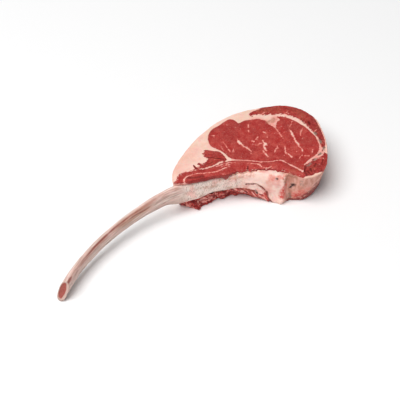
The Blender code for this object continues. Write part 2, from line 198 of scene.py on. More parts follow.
# ---- The rib and the joint tissue, as in the solids ----
RIB_CENTRE = (-56.3, -183.5)  # middle of its arc in the plan
RIB_RADIUS = 207.3
# An angle of the arc, then the height of the section's middle there, its width, its height and its tilt.
RIB_STATIONS = (
    (-29.1, 10.4, 9.0, 19.4, 13),
    (-24.0, 12.4, 8.2, 17.4, 11),
    (-14.0, 15.0, 7.6, 15.8, 8),
    (0.0, 19.8, 7.6, 16.0, 4),
    (12.0, 24.9, 8.8, 18.4, 0),
    (20.0, 24.6, 9.2, 19.0, 0),
    (29.2, 24.0, 9.6, 19.8, 0),
)
RIB_END_SLANT = 0.42  # how far the sawn tip leans along the bone for each millimetre up it
RIB_END_REACH = 26.0  # how far from the tip this fades
RIB_OVERLAP = 1.2  # how far the rib's hidden end runs into the joint tissue, in degrees of its arc
BONE_SQUARENESS = 2.6  # power of the section's outline, 2 for an ellipse and more for a squarer one
RIB_HALF = 8.5  # about half the rib's height
# X, Y and height of the section's middle, then its width and its height.
JOINT_STATIONS = (
    (45.2, -3.6, 24.0, 9.8, 20.0),
    (53.0, -7.4, 22.4, 11.2, 24.0),
    (61.0, -13.4, 20.4, 12.6, 29.0),
    (69.0, -20.6, 19.0, 13.8, 34.4),
    (76.0, -27.8, 18.9, 14.0, 36.8),
    (81.2, -34.5, 18.9, 13.4, 36.8),
    (86.0, -42.2, 18.8, 12.0, 36.6),
)
JOINT_NOSE = 8.0  # length over which its far end narrows
JOINT_TUCK = 4.0  # how far its near end runs into the rib
TUCKED_IN = 0.12  # and how much narrower and lower it is there, as a share
TUCK_ENDS = 1.4  # how far past its first section it has its full size
NOSE_TAPER = 0.9  # how much its end's squared width narrows
NOSE_BULGE = 0.6  # how far its ends stand out in the middle
JOINT_SQUARENESS = 3.4
TUBE_STEP = 0.6  # spacing of the rings along the rib and the joint tissue
SECTION_POINTS = 96  # points round each of them
FINER = 20  # how much finer the section is worked out before they are spread evenly
END_RINGS = 12  # rings of points across a flat end
END_SHARE = 0.02  # size of the last of them, as a share of the rim
OFF_END = 2.0  # what stands for how far out on its end a point lies that isn't on one
LOWEST = 0.3  # nothing but the slab comes nearer to the board than this
NOSE_SINK = (78.0, 84.5, 3.4)  # X where it starts and is full, and how far its near face sinks in
NEARWARDS = np.array((-0.8, -0.6, 0.0))  # out of the joint tissue's near face

# ---- Veins of fat in the cut faces ----
# Each point is its place in the plan and half the vein's width there.
VEINS = (
    ((102.5, 37.5, 0.26), (99.5, 34, 0.53)),
    ((96.5, 30.5, 0.53), (95, 28.5, 0.53)),
    ((106.5, 19, 0.69), (107.5, 16.5, 0.69)),
    ((104.5, 11.5, 0.35), (104, 10.5, 0.35)),
    ((88.5, 16.5, 0.69), (89.5, 15, 0.78)),
    ((93, 16, 0.26), (97, 17, 0.26)),
    ((98, 11, 0.3), (96, 8, 0.95), (96, 5, 1.5), (92.2, 3, 1.1), (90.6, -0.5, 1.2), (89.8, -3.5, 0.5)),
    ((88, 9, 0.26), (92.5, 9, 0.53), (95, 7.5, 0.53)),
    ((95.5, 5, 1.05), (96, 2, 0.44)),
    ((87.6, -1, 0.5), (86, -6, 1.15), (85.2, -10.5, 0.7)),
    ((95, -10, 0.44), (98, -7.5, 0.53), (101.5, -7.5, 0.53), (103, -5, 0.35)),
    ((108.5, -10, 0.35), (105.5, -14, 0.62), (102.5, -17.5, 0.62), (101, -20, 0.44)),
    ((102.5, -17.5, 0.53), (103, -19.5, 0.53), (103, -23.5, 0.44), (102.5, -26, 0.87), (103, -26.5, 0.62)),
    ((128.6, 4, 0.4), (127.4, 0, 1.1), (125, -4.5, 1.2), (123.8, -8, 0.6), (121, -13, 0.8),
     (121, -16.5, 1.3)),
    ((121, -16.5, 1.3), (118.8, -20, 0.8), (118.8, -24, 0.6), (116.5, -27.5, 0.4)),
    ((131.5, 7.5, 0.26), (135.5, 9.5, 0.53), (140, 12, 0.44)),
    ((131, -9, 0.44), (135, -5.5, 0.53), (139.5, -3, 0.44)),
    ((122, 5.5, 0.44), (122, 4.5, 0.44)),
    ((126, -32, 0.53), (123, -34.5, 0.62)),
    ((107, -32.5, 0.35), (110, -31.5, 0.62), (112.5, -31, 0.44)),
    ((114, -33.5, 0.44), (117, -36, 0.35)),
    ((112, -22.5, 0.35), (112, -24.5, 0.26)),
    ((120, 16.5, 0.53), (118.5, 10.5, 0.44), (116, 3.5, 0.44), (114.5, -3.5, 0.26)),
    ((143.5, 27, 0.35), (146.5, 26.5, 0.53), (149, 27.5, 0.35)),
    ((123.5, 42, 0.26), (129, 41.5, 0.44), (132.5, 39, 0.26)),
    ((146.5, -13.5, 0.44), (150, -13.5, 0.35)),
    ((121.5, -44, 0.35), (125.5, -47, 0.35), (126.5, -50.5, 0.26)),
    ((78.5, 27.5, 0.4), (77.2, 23.5, 1.5), (77.4, 19.5, 1.2), (76.8, 16, 0.6), (78.2, 12.5, 0.9),
     (78, 9.5, 0.9)),
    ((78, 9.5, 0.78), (78, 5.5, 0.35)),
    ((75.5, 4.5, 0.35), (76.5, 3.5, 0.35)),
    ((63.5, 47.5, 0.62), (64.3, 47, 0.44)),
    ((65, 34, 0.18), (64, 28.5, 0.3), (62.5, 24, 0.22)),
    ((62.5, 23, 0.18), (60.5, 17, 0.26)),
    ((67, 21, 0.26), (63.5, 15.5, 0.26)),
    ((58.5, 30, 0.18), (57.5, 23, 0.26)),
    ((-5.5, 10, 0.81), (-1.5, 14, 0.91), (1, 17, 0.81), (5.5, 18.5, 0.72), (10, 17.5, 0.61),
     (15.5, 15.5, 0.51)),
    ((15.5, 15.5, 0.51), (21, 11.5, 0.51), (27.5, 7, 0.61), (32.5, 5, 0.61), (38, 4.5, 0.61),
     (46.5, 3, 0.4)),
    ((37, 11, 0.77), (40, 10.5, 0.6), (45, 9.5, 0.6), (50.5, 7, 0.6), (55.5, 4, 0.45)),
    ((40.5, 7.5, 0.45), (45, 6.5, 0.52), (48.5, 4.5, 0.45)),
    ((63, -4.5, 0.4), (66.5, -8, 0.51), (70, -11.5, 0.61), (71, -14.5, 0.61), (70, -18.5, 0.51)),
    ((70, -18.5, 0.51), (71, -21.5, 0.51), (74, -23.5, 0.51), (78, -23.5, 0.51)),
    ((70.5, -12, 0.61), (74, -12, 0.51), (76, -12.5, 0.4)),
)
VEIN_DRIFT = 3.5  # how far the veins have wandered on the lower cut face
DRIFT_SIZE = 16.0  # size of the stretches that wander alike
DRIFT_WAYS = (40, 80)  # heights in the noise that give the way along X and along Y
VEIN_FAR = 3.0  # a vein's measure stops this far outside it
WALL_FAT = 3.4  # how much less of the lean shows on the outer wall than on the cut faces
SKIN_X = (82.0, 86.0)  # X where the skin of the outer wall starts, which hides the lean below the rim
SKIN_Y = (30.0, 0.0)  # Y where it has turned into fat, and where it is full
SKIN_FAT = 5.0  # how much less of the lean shows through it still
SKIN_SHARES = (0.93, 0.985)  # shares of the thickness where the skin starts to thin and has thinned
SKIN_THINNED = 0.8  # and how much of it has gone there
LEAN_SHARES = (0.965, 0.89)  # shares where the lean shows as on the cut face, and where the fat is full
DEPTH_FAR = 5.0  # depths are measured no further than this
DARK_BORDER = 1.5  # half the width of the change from lean to darker lean

# ---- Marks on the cut faces, placed in the plan ----
# Each is a radius, a strength and the points that it runs through.
MARK_EDGE = (0.3, 1.6)  # a mark is full within the first share of its radius and ends at the second

# Where the lean's edge is ragged.
RAGGED_EDGES = (
    (4.0, 1.0, ((-9, 18), (-5, 22), (3, 25.5), (11, 24), (19, 20.5), (25, 19.5))),
    (4.0, 0.8, ((26, 23), (31, 22.5), (37, 23), (39, 30), (45, 34))),
    (3.0, 0.5, ((31, 15), (40, 13.6), (47, 11), (53, 9.6))),
    (5.0, 0.6, ((99, -48), (108, -46), (118, -44.5), (130, -43), (138, -35), (143, -22))),
    (3.0, 1.1, ((146, -12), (148, 0), (148, 10), (144, 21), (136, 31))),
    (3.0, 1.2, ((112, 46), (118, 44), (126, 40), (134, 33))),
    (2.5, 0.5, ((92, -54), (98, -58), (107, -58.5), (118, -56))),
    (2.5, 0.5, ((97, -45), (95, -36), (93, -27), (86, -20))),
    (2.5, 1.3, ((52, -11), (62, -17), (70, -24), (78, -31), (83, -39), (88, -49))),
    (3.0, 0.5, ((120, 36), (119, 24), (122, 18), (130, 23))),
)

# Darker stretches of the lean, and painted shade: dark gaps along the seams, under the wedge's lobes and
# along the lean's edge over the bone.
DARK_AND_SHADE_MARKS = (
    (0.9, 0.9, ((38.5, 27), (41.5, 24), (45.5, 19), (49, 14.5))),
    (0.8, 0.7, ((29, 20), (33, 19), (38, 18.5))),
    (1.5, 1.0, ((151.8, 0.5), (150.4, -2.5))),
    (1.2, 1.0, ((147.2, 8.6), (147.8, 5))),
    (0.9, 0.8, ((146.8, -14.5), (146, -18.5))),
    (0.9, 0.8, ((144.2, -23.5), (143, -27))),
    (0.8, 0.8, ((139.4, -32.6), (138, -35.2))),
    (0.9, 0.8, ((105, -44.4), (101.5, -47.4))),
    (1.1, 0.6, ((96.5, -50.5), (95.6, -51.6))),
    (2.6, 0.75, ((4.5, 16), (7.6, 13.6), (12.5, 10.4), (17.1, 8))),
    (1.6, 0.55, ((106, -46), (103.5, -51), (98, -54))),
    (1.1, 0.4, ((118, -49), (116, -53.5), (111, -56))),
    (0.9, 0.5, ((72.5, -19), (69, -16.5))),
    (0.8, 1.0, ((61, -8), (58.6, -10.4), (56.8, -12.4))),
    (1.0, 0.5, ((89, -30), (91, -36), (92, -43))),
    (0.7, 0.5, ((14, 20.5), (20, 17.5), (27, 13))),
    (0.8, 0.5, ((43, 10.6), (50, 8.6), (56, 5))),
    (1.6, 0.75, ((98, -49.4), (96.4, -52.4), (95, -55.4))),
    (1.3, 0.8, ((100.4, -50.4), (99.4, -54))),
    (1.3, 0.9, ((103, -53.4), (105, -50.5))),
    (1.2, 0.8, ((110, -50.6), (114, -48.4))),
    (1.2, 0.8, ((119, -52), (124, -48.6))),
    (1.1, 0.6, ((60, -14), (68, -20.5), (76, -28), (82, -36), (87, -46))),
    (0.9, 0.5, ((66, -6.5), (74, -14), (82, -20.5), (90, -27), (93, -36))),
)
# Fat that is pinker than the rest.
BLUSHES = (
    (4.5, 1.0, ((120, 17), (121, 24), (127, 25), (131, 27))),
    (2.5, 0.8, ((112, 42), (118, 37), (120, 31))),
    (3.0, 1.0, ((142, -26), (138, -33), (130, -40), (116, -43), (104, -45))),
    (2.0, 1.0, ((97, -45), (94, -33), (92, -24), (80, -15), (66, -1), (57, 9))),
    (8.0, 0.3, ((2, 34), (20, 40), (34, 44))),
)
# Strokes of dark lean that lie in the fat.
STROKES = (
    (0.9, 1.0, ((21, 27.5), (20.2, 24.8))),
    (0.8, 1.0, ((20, 23.5), (19.5, 21))),
    (0.6, 0.8, ((25, 25.5), (27, 26.2))),
    (0.6, 0.7, ((-12.2, 24.4), (-11.4, 22.4))),
    (0.7, 0.9, ((132, -39.4), (134.2, -38.6))),
    (0.9, 1.0, ((103.4, -44), (100.5, -47), (97.4, -49.8))),
    (0.6, 0.7, ((121, 45.8), (123, 44.2))),
    (0.6, 0.7, ((127.4, 40.6), (129.4, 39))),
    (0.6, 0.7, ((133.4, 35.6), (135, 34.2))),
    (0.7, 0.9, ((124.6, -41), (127, -40.6))),
    (0.7, 0.9, ((115.6, -42.4), (117.4, -42.2))),
    (0.6, 0.8, ((38.6, 34.4), (39.4, 34))),
    (0.6, 0.7, ((42.6, 36.6), (44, 36.2))),
)
STROKE_DEPTH = 4.5  # what a stroke adds to the depth, so that it shows as lean
# Brown and olive tints of the lean.
TINTS = (
    (4.6, 1.0, ((127, 45.5), (136, 41), (143, 35))),
    (3.6, 0.8, ((150, 28), (155, 20), (156, 12))),
    (2.6, 0.8, ((153.5, 2), (150.5, 8))),
    (1.6, 0.8, ((156, -9.5), (154, -12))),
    (2.2, 0.7, ((33, 17), (40, 19.5), (46, 20.5))),
    (2.0, 0.6, ((100, -53), (112, -50))),
    (2.4, 0.6, ((98, -42), (92, -45), (88, -40))),
)

# ---- Marks placed in space, most of them on the near side ----
# Their points have a height as well.
RED_MARKS = (
    (3.4, 0.75, ((81, -42.8, 23), (79, -42, 19), (77.6, -41, 14.5), (77.4, -41, 11))),
    (1.8, 0.6, ((66.4, -27.4, 14), (68.4, -29.2, 8), (70, -30.6, 3))),
    (3.4, 0.7, ((90, -46, 8.5), (93.5, -49.6, 10))),
    (3.0, 0.5, ((92.4, -50.5, 15.5), (97, -53.8, 14))),
)
# Softer pink patches.
FLUSH_MARKS = (
    (3.4, 0.7, ((71.5, -31.5, 33.4), (70.8, -31.3, 29.5))),
    (2.8, 0.7, ((78.2, -39.1, 34.9), (76, -37.2, 35.4))),
    (5.0, 0.6, ((81, -42.8, 23), (78, -41.4, 12))),
    (5.5, 0.7, ((90, -46, 9), (95, -52, 13), (98, -55, 18))),
    (4.0, 0.35, ((44, -8, 31), (52, -12.6, 32.6), (58, -16.6, 33.4))),
    (4.0, 0.3, ((73.5, -35.4, 9.7), (74.4, -36.4, 4))),
)
BROWN_MARKS = (
    (2.6, 0.9, ((82.5, -42, 36.2), (86.5, -42.5, 35), (88.2, -46.2, 35.2))),
    (2.4, 0.8, ((79.6, -41.4, 33), (80.6, -42.2, 28.5))),
    (1.4, 0.5, ((79.6, -42.4, 25), (79.4, -42.5, 22))),
    (1.8, 0.35, ((48, -10.5, 31), (53.1, -12.6, 32.9), (60.7, -18.7, 34.1))),
    (1.4, 0.5, ((45, -8.2, 30), (46.6, -8.6, 24), (44, -8, 18))),
    (1.6, 0.6, ((87, -42.6, 13), (87.2, -42.7, 6))),
    (3.2, 0.6, ((121.5, 27.5, 39), (124.5, 26, 39), (129, 27.5, 39))),
)
GREY_MARKS = (
    (2.6, 0.7, ((84, -43.4, 5), (87.2, -42.4, 3.5), (85.5, -43.4, 9))),
    (0.9, 0.7, ((82.7, -43.5, 19), (82.1, -43.4, 11.7), (81.8, -42.9, 4.6))),
    (2.4, 0.45, ((92, -52.5, 32), (92.4, -52.6, 25))),
    (2.0, 0.4, ((110, -59, 32), (118, -56, 32))),
    (1.5, 0.9, ((145.7, -15.2, 38.6), (144.6, -17.7, 38.6))),
    (1.5, 0.8, ((141.5, -26.6, 38.6), (139.7, -29.8, 38.6))),
    (1.5, 0.8, ((138.1, -36.5, 38.2), (135.1, -38.3, 38.2))),
    (1.4, 0.9, ((128.9, -40.6, 38.2), (126.4, -40.8, 38.2))),
    (1.4, 0.9, ((119.3, -43.2, 38.4), (116.9, -43.5, 38.4))),
    (1.8, 0.7, ((110.3, -44.9, 38.6), (106.4, -45.2, 38.6))),
)
# Pits sunk into the joint tissue and painted near-black: painted shadow in them.
SHADED_PIT_MARKS = (
    (2.5, 1.0, ((88.4, -45.2, 23.8), (88, -44.8, 23.2))),
    (1.1, 1.0, ((88.2, -44.9, 22.6), (87.1, -43.4, 19.8), (85, -42.6, 18.2))),
    (1.2, 0.8, ((74.4, -35.5, 32.7), (74.6, -35.7, 32.3))),
    (1.4, 0.9, ((60.2, -21.2, 14.6), (61.2, -22.2, 11.5))),
)
# Creases of the joint tissue, with painted shade: dark brown along them.
FOLD = ((53.5, -15, 23.4), (57, -18.5, 24.2), (60.6, -21.6, 24), (64.4, -25.7, 20.6), (68.1, -29.3, 14.2),
        (69.6, -30, 7), (71.6, -31, 2))
FOLD_SHADE_MARKS = (
    (1.3, 0.8, FOLD),
    (0.6, 0.5, ((61.5, -23, 20.6), (65, -26.4, 17), (67, -28.2, 12))),
    (0.6, 0.4, ((56, -14.6, 34.8), (61, -18.8, 35.4), (66, -23.8, 35.2))),
    (0.6, 0.5, ((46, -9, 27), (46.4, -9.2, 22.5))),
)
# Painted shade: deep red on the lean near the board and under the rim.
DEEP_SHADE_MARKS = (
    (4.2, 1.2, ((86, -42.5, -1), (92, -48, 0), (98, -51.5, 3), (104, -53.6, 5))),
    (3.4, 0.8, ((92.5, -48.5, 8), (98, -53, 9), (104, -54.6, 11), (110, -55.4, 13))),
    (6.5, 1.5, ((104, -53.6, 4), (110, -54, 6), (118, -51, 6), (126, -45, 5))),
    (4.5, 1.4, ((126, -45, 4), (134, -36, 2), (142, -26, 0), (150, -16, -2))),
    (3.0, 0.7, ((108, -57, 20), (114, -55.6, 20), (120, -52, 20))),
    (1.2, 0.8, ((96, -55.5, 36), (92.6, -53.6, 34.5))),
)
PALE_MARKS = (
    (1.4, 0.8, ((9, 8.6, 6.5), (12.1, 7.4, 10), (16.8, 6.7, 10.8), (22, 5.2, 9.4), (26, 5, 7.5))),
    (1.2, 0.7, ((30, 5.4, 4.5), (34, 4, 7), (39, 1.6, 7.5))),
    (0.9, 0.9, ((42.3, -3, 13.5), (46, -5.6, 10.5), (49, -9, 7), (52, -12, 3.6))),
    (0.9, 0.9, ((43.3, -8, 18.2), (46, -8.8, 15.8), (49.5, -10.6, 12.8), (52, -12.6, 9))),
    (0.8, 0.8, ((47.5, -9.6, 17.6), (50.5, -12, 14.6), (53, -14.4, 10.6))),
    (1.2, 0.6, ((5.5, 11.4, 3.4), (7, 10.2, 1))),
    (1.0, 0.6, ((0, 18.4, 7), (2, 16.6, 5))),
    (1.5, 0.9, ((-9.5, 20, 36.4), (-6, 18, 35.8), (-1, 15.2, 36.4), (1.4, 14, 35.6))),
    (1.8, 0.8, ((-1, 15.2, 36), (-1.2, 15, 33.4))),
    (2.4, 0.9, ((61.8, -22.8, 16.4), (64, -25.2, 13.6))),
    (1.0, 0.8, ((66.6, -27.6, 12), (68.4, -29, 6))),
)
# A ridge down the joint tissue's near face.
RIDGE = ((80.5, -41.2, 36), (78.4, -42, 27.8), (78.1, -42, 17), (78.6, -42, 9), (77.5, -40, 2))
RIDGE_HEIGHT = 1.0
RIDGE_WIDTH = 2.2  # half of it
CREASE = (0.9, 0.7)  # depth and half width of the fold
CREASE_LIP = (0.6, 1.1, 2.0)  # height and half width of the lips beside it, and how far off they stand
LEAN_PROUD = 0.3  # how far the lean over the joint tissue stands proud of it
LEAN_STARTS = (-0.6, 0.8)  # depths below its line where it starts and is full
MEMBRANE_X = (44.0, 56.0, 1.0, 0.0)  # X where the membrane starts to end and has ended, and its shares there
FASCIA_X = (77.0, 82.5)  # X where the skin starts and is full
# Below this line along the joint tissue, in X and height, lean lies over it.
LOWER_LEAN_LINE = (
    (38, 17), (43.3, 19.3), (51, 18.7), (56.2, 16.8), (59.7, 15.8), (61.3, 11.7), (64.4, 11), (66, 14),
    (67.6, 13), (69.4, 7), (71.8, 1.5), (73, -3),
)
# X of the middle of the joint tissue's foot, half its length, how far it juts out, and its height.
FOOT_PUSH = (78.0, 9.0, 3.2, 15.0)

# Above and below the bare stretch of bone the lean comes out to the wall. A flap of it hangs over the bone.
BEHIND_BONE = 1.6  # how far inside the bone's near face the lean's wall runs
FLAP = (37.2, 3.8, 0.5)  # X of its point, half its width, and how far it hangs
# Where the lean ends above and below the bone, over how much it comes out, and how ragged it is there. All of
# these, and how far the flap hangs, are shares of half the bone's height.
UPPER_LIP = (1.07, 0.14, 0.064)
LOWER_LIP = (1.25, 0.3, 0.256)
BARE_X = (-13.0, -9.0, 50.0, 54.0)  # X where the bare stretch starts, is full, eases and ends
FOOT_CURVE = 2.6  # how much more the torn wall's foot juts out at the board than higher up
FOOT_CURVE_X = (20.0, 12.0)  # X where this has faded out, and where it is full
NEAR_Y = 21.0  # the wall beside the bone has a smaller Y than this
SHADOW_LINE_PLACE = -1.08  # place of the painted shadow line in the gap under the bone, as a share of half its height
SHADOW_LINE_WIDTH = 0.16
SHADE_SHARES = (0.8, 0.86, 0.975, 1.0)  # shares of the thickness where painted shade darkens the lean's wall over the bone

RAGS_END = 68.0  # X where the torn lean below the bone and the joint tissue ends
RAGS_SHARES = (0.62, 0.5)  # shares of the thickness where it has ended, and where it is full
RAGS_DEPTH = 8.0  # what it adds to the depth, so that it shows as lean
RAG_TURN = 27.0  # the torn wall's direction in the plan, in degrees
STRIPE_TURN = (35.0, 40.0)  # and that of the stripes below the joint tissue, with how far they lean

# Lines along the rib: half its width, then an angle of the rib's arc, a place up the section from -1 to 1,
# and a strength.
RIB_LINES = (
    (1.05, (
        (-29, 0.97, 1.1), (-27, 0.97, 1.0), (-25.6, 0.95, 0.3), (-20, 0.92, 0.6), (-17, 0.93, 1.0),
        (-14.5, 0.94, 1.4), (-11, 0.94, 1.4), (-9.5, 0.92, 0.6), (-6, 0.9, 1.1), (-2, 0.92, 0.7),
        (1, 0.92, 0.8), (4, 0.92, 0.7), (8, 0.9, 0.4), (12, 0.9, 0.0),
    )),
    (1.3, (
        (-9, 0.85, 0.0), (-6, 0.78, 0.6), (-3, 0.68, 0.5), (-1, 0.62, 0.8), (2, 0.55, 1.0), (4, 0.5, 0.9),
        (6, 0.4, 0.3), (9, 0.3, 0.0),
    )),
    (0.8, ((3, -0.5, 0.0), (6, -0.4, 0.5), (9, -0.2, 0.8), (12, 0.0, 0.5), (14, 0.1, 0.0))),
)
NEAR_SIDE = (0.15, -0.35)  # places across the section, from -1 to 1, where the near side starts and is full
LINE_DEPTH = 0.4  # how deep the lines are
BONE_SINK = 0.25  # how far the bone's roughness is let into it
# Distances from the tip where the side is tan, and where the bone swells under the lean.
TAN_STRETCH = (70.0, 92.0, 116.0, 128.0)
SWELL_STRETCH = (140.0, 155.0, 174.0, 194.0)
TAN_UP = (-0.1, 0.35)  # places up the section where the tan starts and is full
RIB_SWELL = 3.4  # how far it swells
SWELL_UP = (-0.8, 0.45)  # place of the swelling up the section, from -1 to 1, and half its width
MEATY = (150.0, 166.0)  # distances from the tip where membrane starts to cover the bone and is full
NEAR_SHELL = 0.32  # how much thicker the bone round the marrow is on its near side, as a share
SHELL_SIDE = (0.0, -0.8)  # places across the section where this starts and is full
MARROW_EDGE = (0.82, 0.67)  # how far out on the sawn tip the marrow starts and is full, 1 on the rim
CALM_TIP = (0.4, 2.5)  # share of the roughness at the sawn rim, and how far from it all of it is there
TIP_PIT = 0.8  # how far the sawn tip is sunk in the middle
SPONGE_DEPTH = 0.5  # how much deeper the marrow lies


# ---- Curves and noise ----
def curve(t, span, start, leave, end, arrive):
    """The place at t, from 0 to 1, on a smooth stretch with the given ends and slopes at them."""
    return (
        (2 * t**3 - 3 * t**2 + 1) * start
        + (t**3 - 2 * t**2 + t) * span * leave
        + (3 * t**2 - 2 * t**3) * end
        + (t**3 - t**2) * span * arrive
    )


def smooth_loop(points, spacing):
    """Points along a closed curve that runs smoothly through the given ones.

    Only the first two numbers of a point measure distance, and any further ones are carried along.
    """
    knots = np.array(points, float)
    along = []
    for before, start, end, after in zip(*(np.roll(knots, step, axis=0) for step in (1, 0, -1, -2))):
        lead, span, tail = (
            math.sqrt(math.dist(a[:2], b[:2])) for a, b in ((before, start), (start, end), (end, after))
        )
        leave = (start - before) / lead - (end - before) / (lead + span) + (end - start) / span
        arrive = (end - start) / span - (after - start) / (span + tail) + (after - end) / tail
        pieces = max(1, round(math.dist(start[:2], end[:2]) / spacing))
        along.extend(curve(piece / pieces, span, start, leave, end, arrive) for piece in range(pieces))
    return np.array(along)


def eased(stations, at):
    """Each column of the stations' numbers at many places among them, without corners."""
    stations = np.array(stations, float)
    keys = stations[:, 0]
    slopes = np.gradient(stations, keys, axis=0)
    index = np.clip(np.searchsorted(keys, at) - 1, 0, len(keys) - 2)
    width = (keys[index + 1] - keys[index])[:, None]
    t = (at - keys[index])[:, None] / width
    return curve(t, width, stations[index], slopes[index], stations[index + 1], slopes[index + 1])[:, 1:]


def step_up(value, low, high):
    """0 at low and before it, 1 at high and beyond, and smooth between. High may be the smaller number."""
    t = np.clip((value - low) / (high - low), 0, 1)
    return t * t * (3 - 2 * t)


def hump(value, starts, full, eases, ends):
    """0 outside a span, 1 in its full middle, and smooth between."""
    return step_up(value, starts, full) * step_up(value, ends, eases)


def bell(value, width):
    """1 where the value is 0, and about a third of that where it is one width away."""
    return np.exp(-(value / width) ** 2)


class Noise:
    """Smooth noise between -1 and 1, the same on each run."""

    SIDE = 32

    def __init__(self, seed):
        self.lattice = np.random.default_rng(seed).uniform(-1, 1, (self.SIDE,) * 3)

    def at(self, points, size):
        """The noise at points in millimetres. Size is the length of a lump, one number or three."""
        where = points / np.array(size, float)
        base = np.floor(where).astype(int)
        part = where - base
        part = part * part * (3 - 2 * part)
        total = np.zeros(len(points))
        for corner in range(8):
            offset = np.array((corner & 1, corner >> 1 & 1, corner >> 2 & 1))
            cell = (base + offset) % self.SIDE
            weight = np.prod(np.where(offset, part, 1 - part), axis=1)
            total += weight * self.lattice[cell[:, 0], cell[:, 1], cell[:, 2]]
        return total


BROAD, FINE, FIBRE, RAGS = (Noise(seed) for seed in (11, 12, 13, 14))
LAYER_SHIFT = 17.3  # how far each layer of noise is shifted from the one before

# Roughness: height in millimetres, noise, size of its lumps, number of layers, and shift.
WALL_LUMPS = ((0.55, BROAD, (9, 9, 12), 3, 0), (0.22, FINE, 2.6, 3, 0))
WALL_RAGS = ((3.2, RAGS, (2.6, 2.6, 6), 3, 0),)
LIP_RAGS = ((1.0, RAGS, 3.4, 3, 0),)
RIM_JAGS = ((2.6, RAGS, (2.2, 2.2, 9), 3, 9),)
FACE_GRAIN = ((0.16, FIBRE, (1.9, 1.9, 30), 2, 0),)
FACE_LUMPS = ((0.28, BROAD, (7, 7, 40), 2, 50), (0.1, FINE, (2.4, 2.4, 30), 2, 0))
BONE_LUMPS = ((0.3, BROAD, 11, 2, 0),)
BONE_GROOVES = ((0.16, FINE, (13, 1.6, 5), 2, 0), (0.07, FIBRE, (2.2, 1.3, 5), 2, 0))
LINE_WANDER = ((0.07, BROAD, (14, 30, 9), 3, 0),)
SPONGE_PITS = ((0.35, FINE, 1.1, 2, 0),)
JOINT_LUMPS = ((0.5, BROAD, 9, 2, 0), (0.3, RAGS, (9, 9, 3), 2, 0), (0.12, FINE, 2.2, 2, 0))
LEAN_EDGE = ((0.6, RAGS, 4, 2, 0),)
LEAN_SHREDS = ((0.8, RAGS, (2, 2, 7), 3, 0),)


def rough(points, kinds):
    """Roughness at points. Each layer of a noise is half as large and half as strong as the one before."""
    total = 0
    for height, noise, size, layers, shift in kinds:
        parts = (
            noise.at(points + shift + LAYER_SHIFT * layer, np.array(size, float) / 2**layer) / 2**layer
            for layer in range(layers)
        )
        total = total + height * (sum(parts) / sum(1 / 2**layer for layer in range(layers)))
    return total


# ---- Distances ----
def inside(loop, points):
    """Which points lie inside a closed loop."""
    x, y = points[:, 0], points[:, 1]
    hit = np.zeros(len(points), bool)
    for (ax, ay), (bx, by) in zip(loop, np.roll(loop, -1, axis=0)):
        crosses = (ay > y) != (by > y)
        if crosses.any():
            hit[crosses] ^= x[crosses] < (bx - ax) * (y[crosses] - ay) / (by - ay) + ax
    return hit


def squares(points, others):
    """Squared distances from each point to each of the others, for a part of the points at a time."""
    for part in np.array_split(points, PARTS):
        yield ((part[:, None] - others[None]) ** 2).sum(axis=2)


def stretches(points, line):
    """How far each point stands along and off each straight stretch of a line, along it from 0 to 1."""
    for start, end in zip(line, line[1:]):
        run = end - start
        t = np.clip((points - start) @ run / (run @ run), 0, 1)
        yield t, np.linalg.norm(points - start - t[:, None] * run, axis=1)


def from_line(points, line):
    """How far each point lies from a line of straight stretches."""
    nearest = np.full(len(points), np.inf)
    for _, apart in stretches(points, np.array(line, float)):
        nearest = np.minimum(nearest, apart)
    return nearest


def boxed(points, line, reach):
    """Which points lie in the box round a line."""
    return np.all((points > np.min(line, axis=0) - reach) & (points < np.max(line, axis=0) + reach), axis=1)


def marks(points, kinds):
    """The strongest of several soft marks at each point, 0 where there is none."""
    strongest = np.zeros(len(points))
    for radius, strength, line in kinds:
        solid, reach = radius * MARK_EDGE[0], radius * MARK_EDGE[1]
        near = boxed(points, line, reach)
        if near.any():
            here = strength * step_up(from_line(points[near], line), reach, solid)
            strongest[near] = np.maximum(strongest[near], here)
    return strongest


def veins(points):
    """How deep each plan point lies inside a vein of fat, negative outside."""
    deepest = np.full(len(points), -VEIN_FAR)
    for vein in VEINS:
        vein = np.array(vein, float)
        line, halves = vein[:, :2], vein[:, 2]
        near = boxed(points, line, halves.max() + VEIN_FAR)
        for (t, apart), first, last in zip(stretches(points[near], line), halves, halves[1:]):
            deepest[near] = np.maximum(deepest[near], first + (last - first) * t - apart)
    return deepest


def into_outlines(points, outlines):
    """The distance to the nearest edge of the outlines, positive inside one."""
    depth = np.full(len(points), -np.inf)
    for outline in outlines:
        loop = smooth_loop(outline, SEAM_STEP)
        away = from_line(points, np.vstack((loop, loop[:1])))
        depth = np.maximum(depth, np.where(inside(loop, points), away, -away))
    return depth


# ---- The slab ----
def fine_plan():
    """Corners and triangles of the whole plan, and the piece that each triangle belongs to."""
    outer = smooth_loop([point[:2] for point in OUTER], OUTER_STEP)
    muscles = {name: smooth_loop(points, SEAM_STEP) for name, points in MUSCLES.items()}
    loops = [outer, *muscles.values()]
    points, edges = [], []
    for loop in loops:
        first = len(points)
        points.extend(loop)
        edges.extend((first + i, first + (i + 1) % len(loop)) for i in range(len(loop)))
    low, high = outer.min(axis=0), outer.max(axis=0)
    rows = np.arange(low[1], high[1], GRID_STEP * math.sqrt(3) / 2)
    columns = np.arange(low[0], high[0], GRID_STEP)
    grid = np.array([(x + (row % 2) * GRID_STEP / 2, y) for row, y in enumerate(rows) for x in columns])
    grid = grid[inside(outer, grid)]
    nearest = np.concatenate([apart.min(axis=1) for apart in squares(grid, np.concatenate(loops))])
    points.extend(grid[nearest > CLEAR_OF_EDGE**2])
    corners, _, faces, *_ = delaunay_2d_cdt([Vector(point) for point in points], edges, [], 0, SAME_PLACE)
    corners = np.array([tuple(corner) for corner in corners])
    faces = np.array(faces)
    middles = corners[faces].mean(axis=1)
    names = np.full(len(faces), "fat_cover", dtype=object)
    for name, loop in muscles.items():
        names[inside(loop, middles)] = name
    names[~inside(outer, middles)] = None
    return corners, faces, names


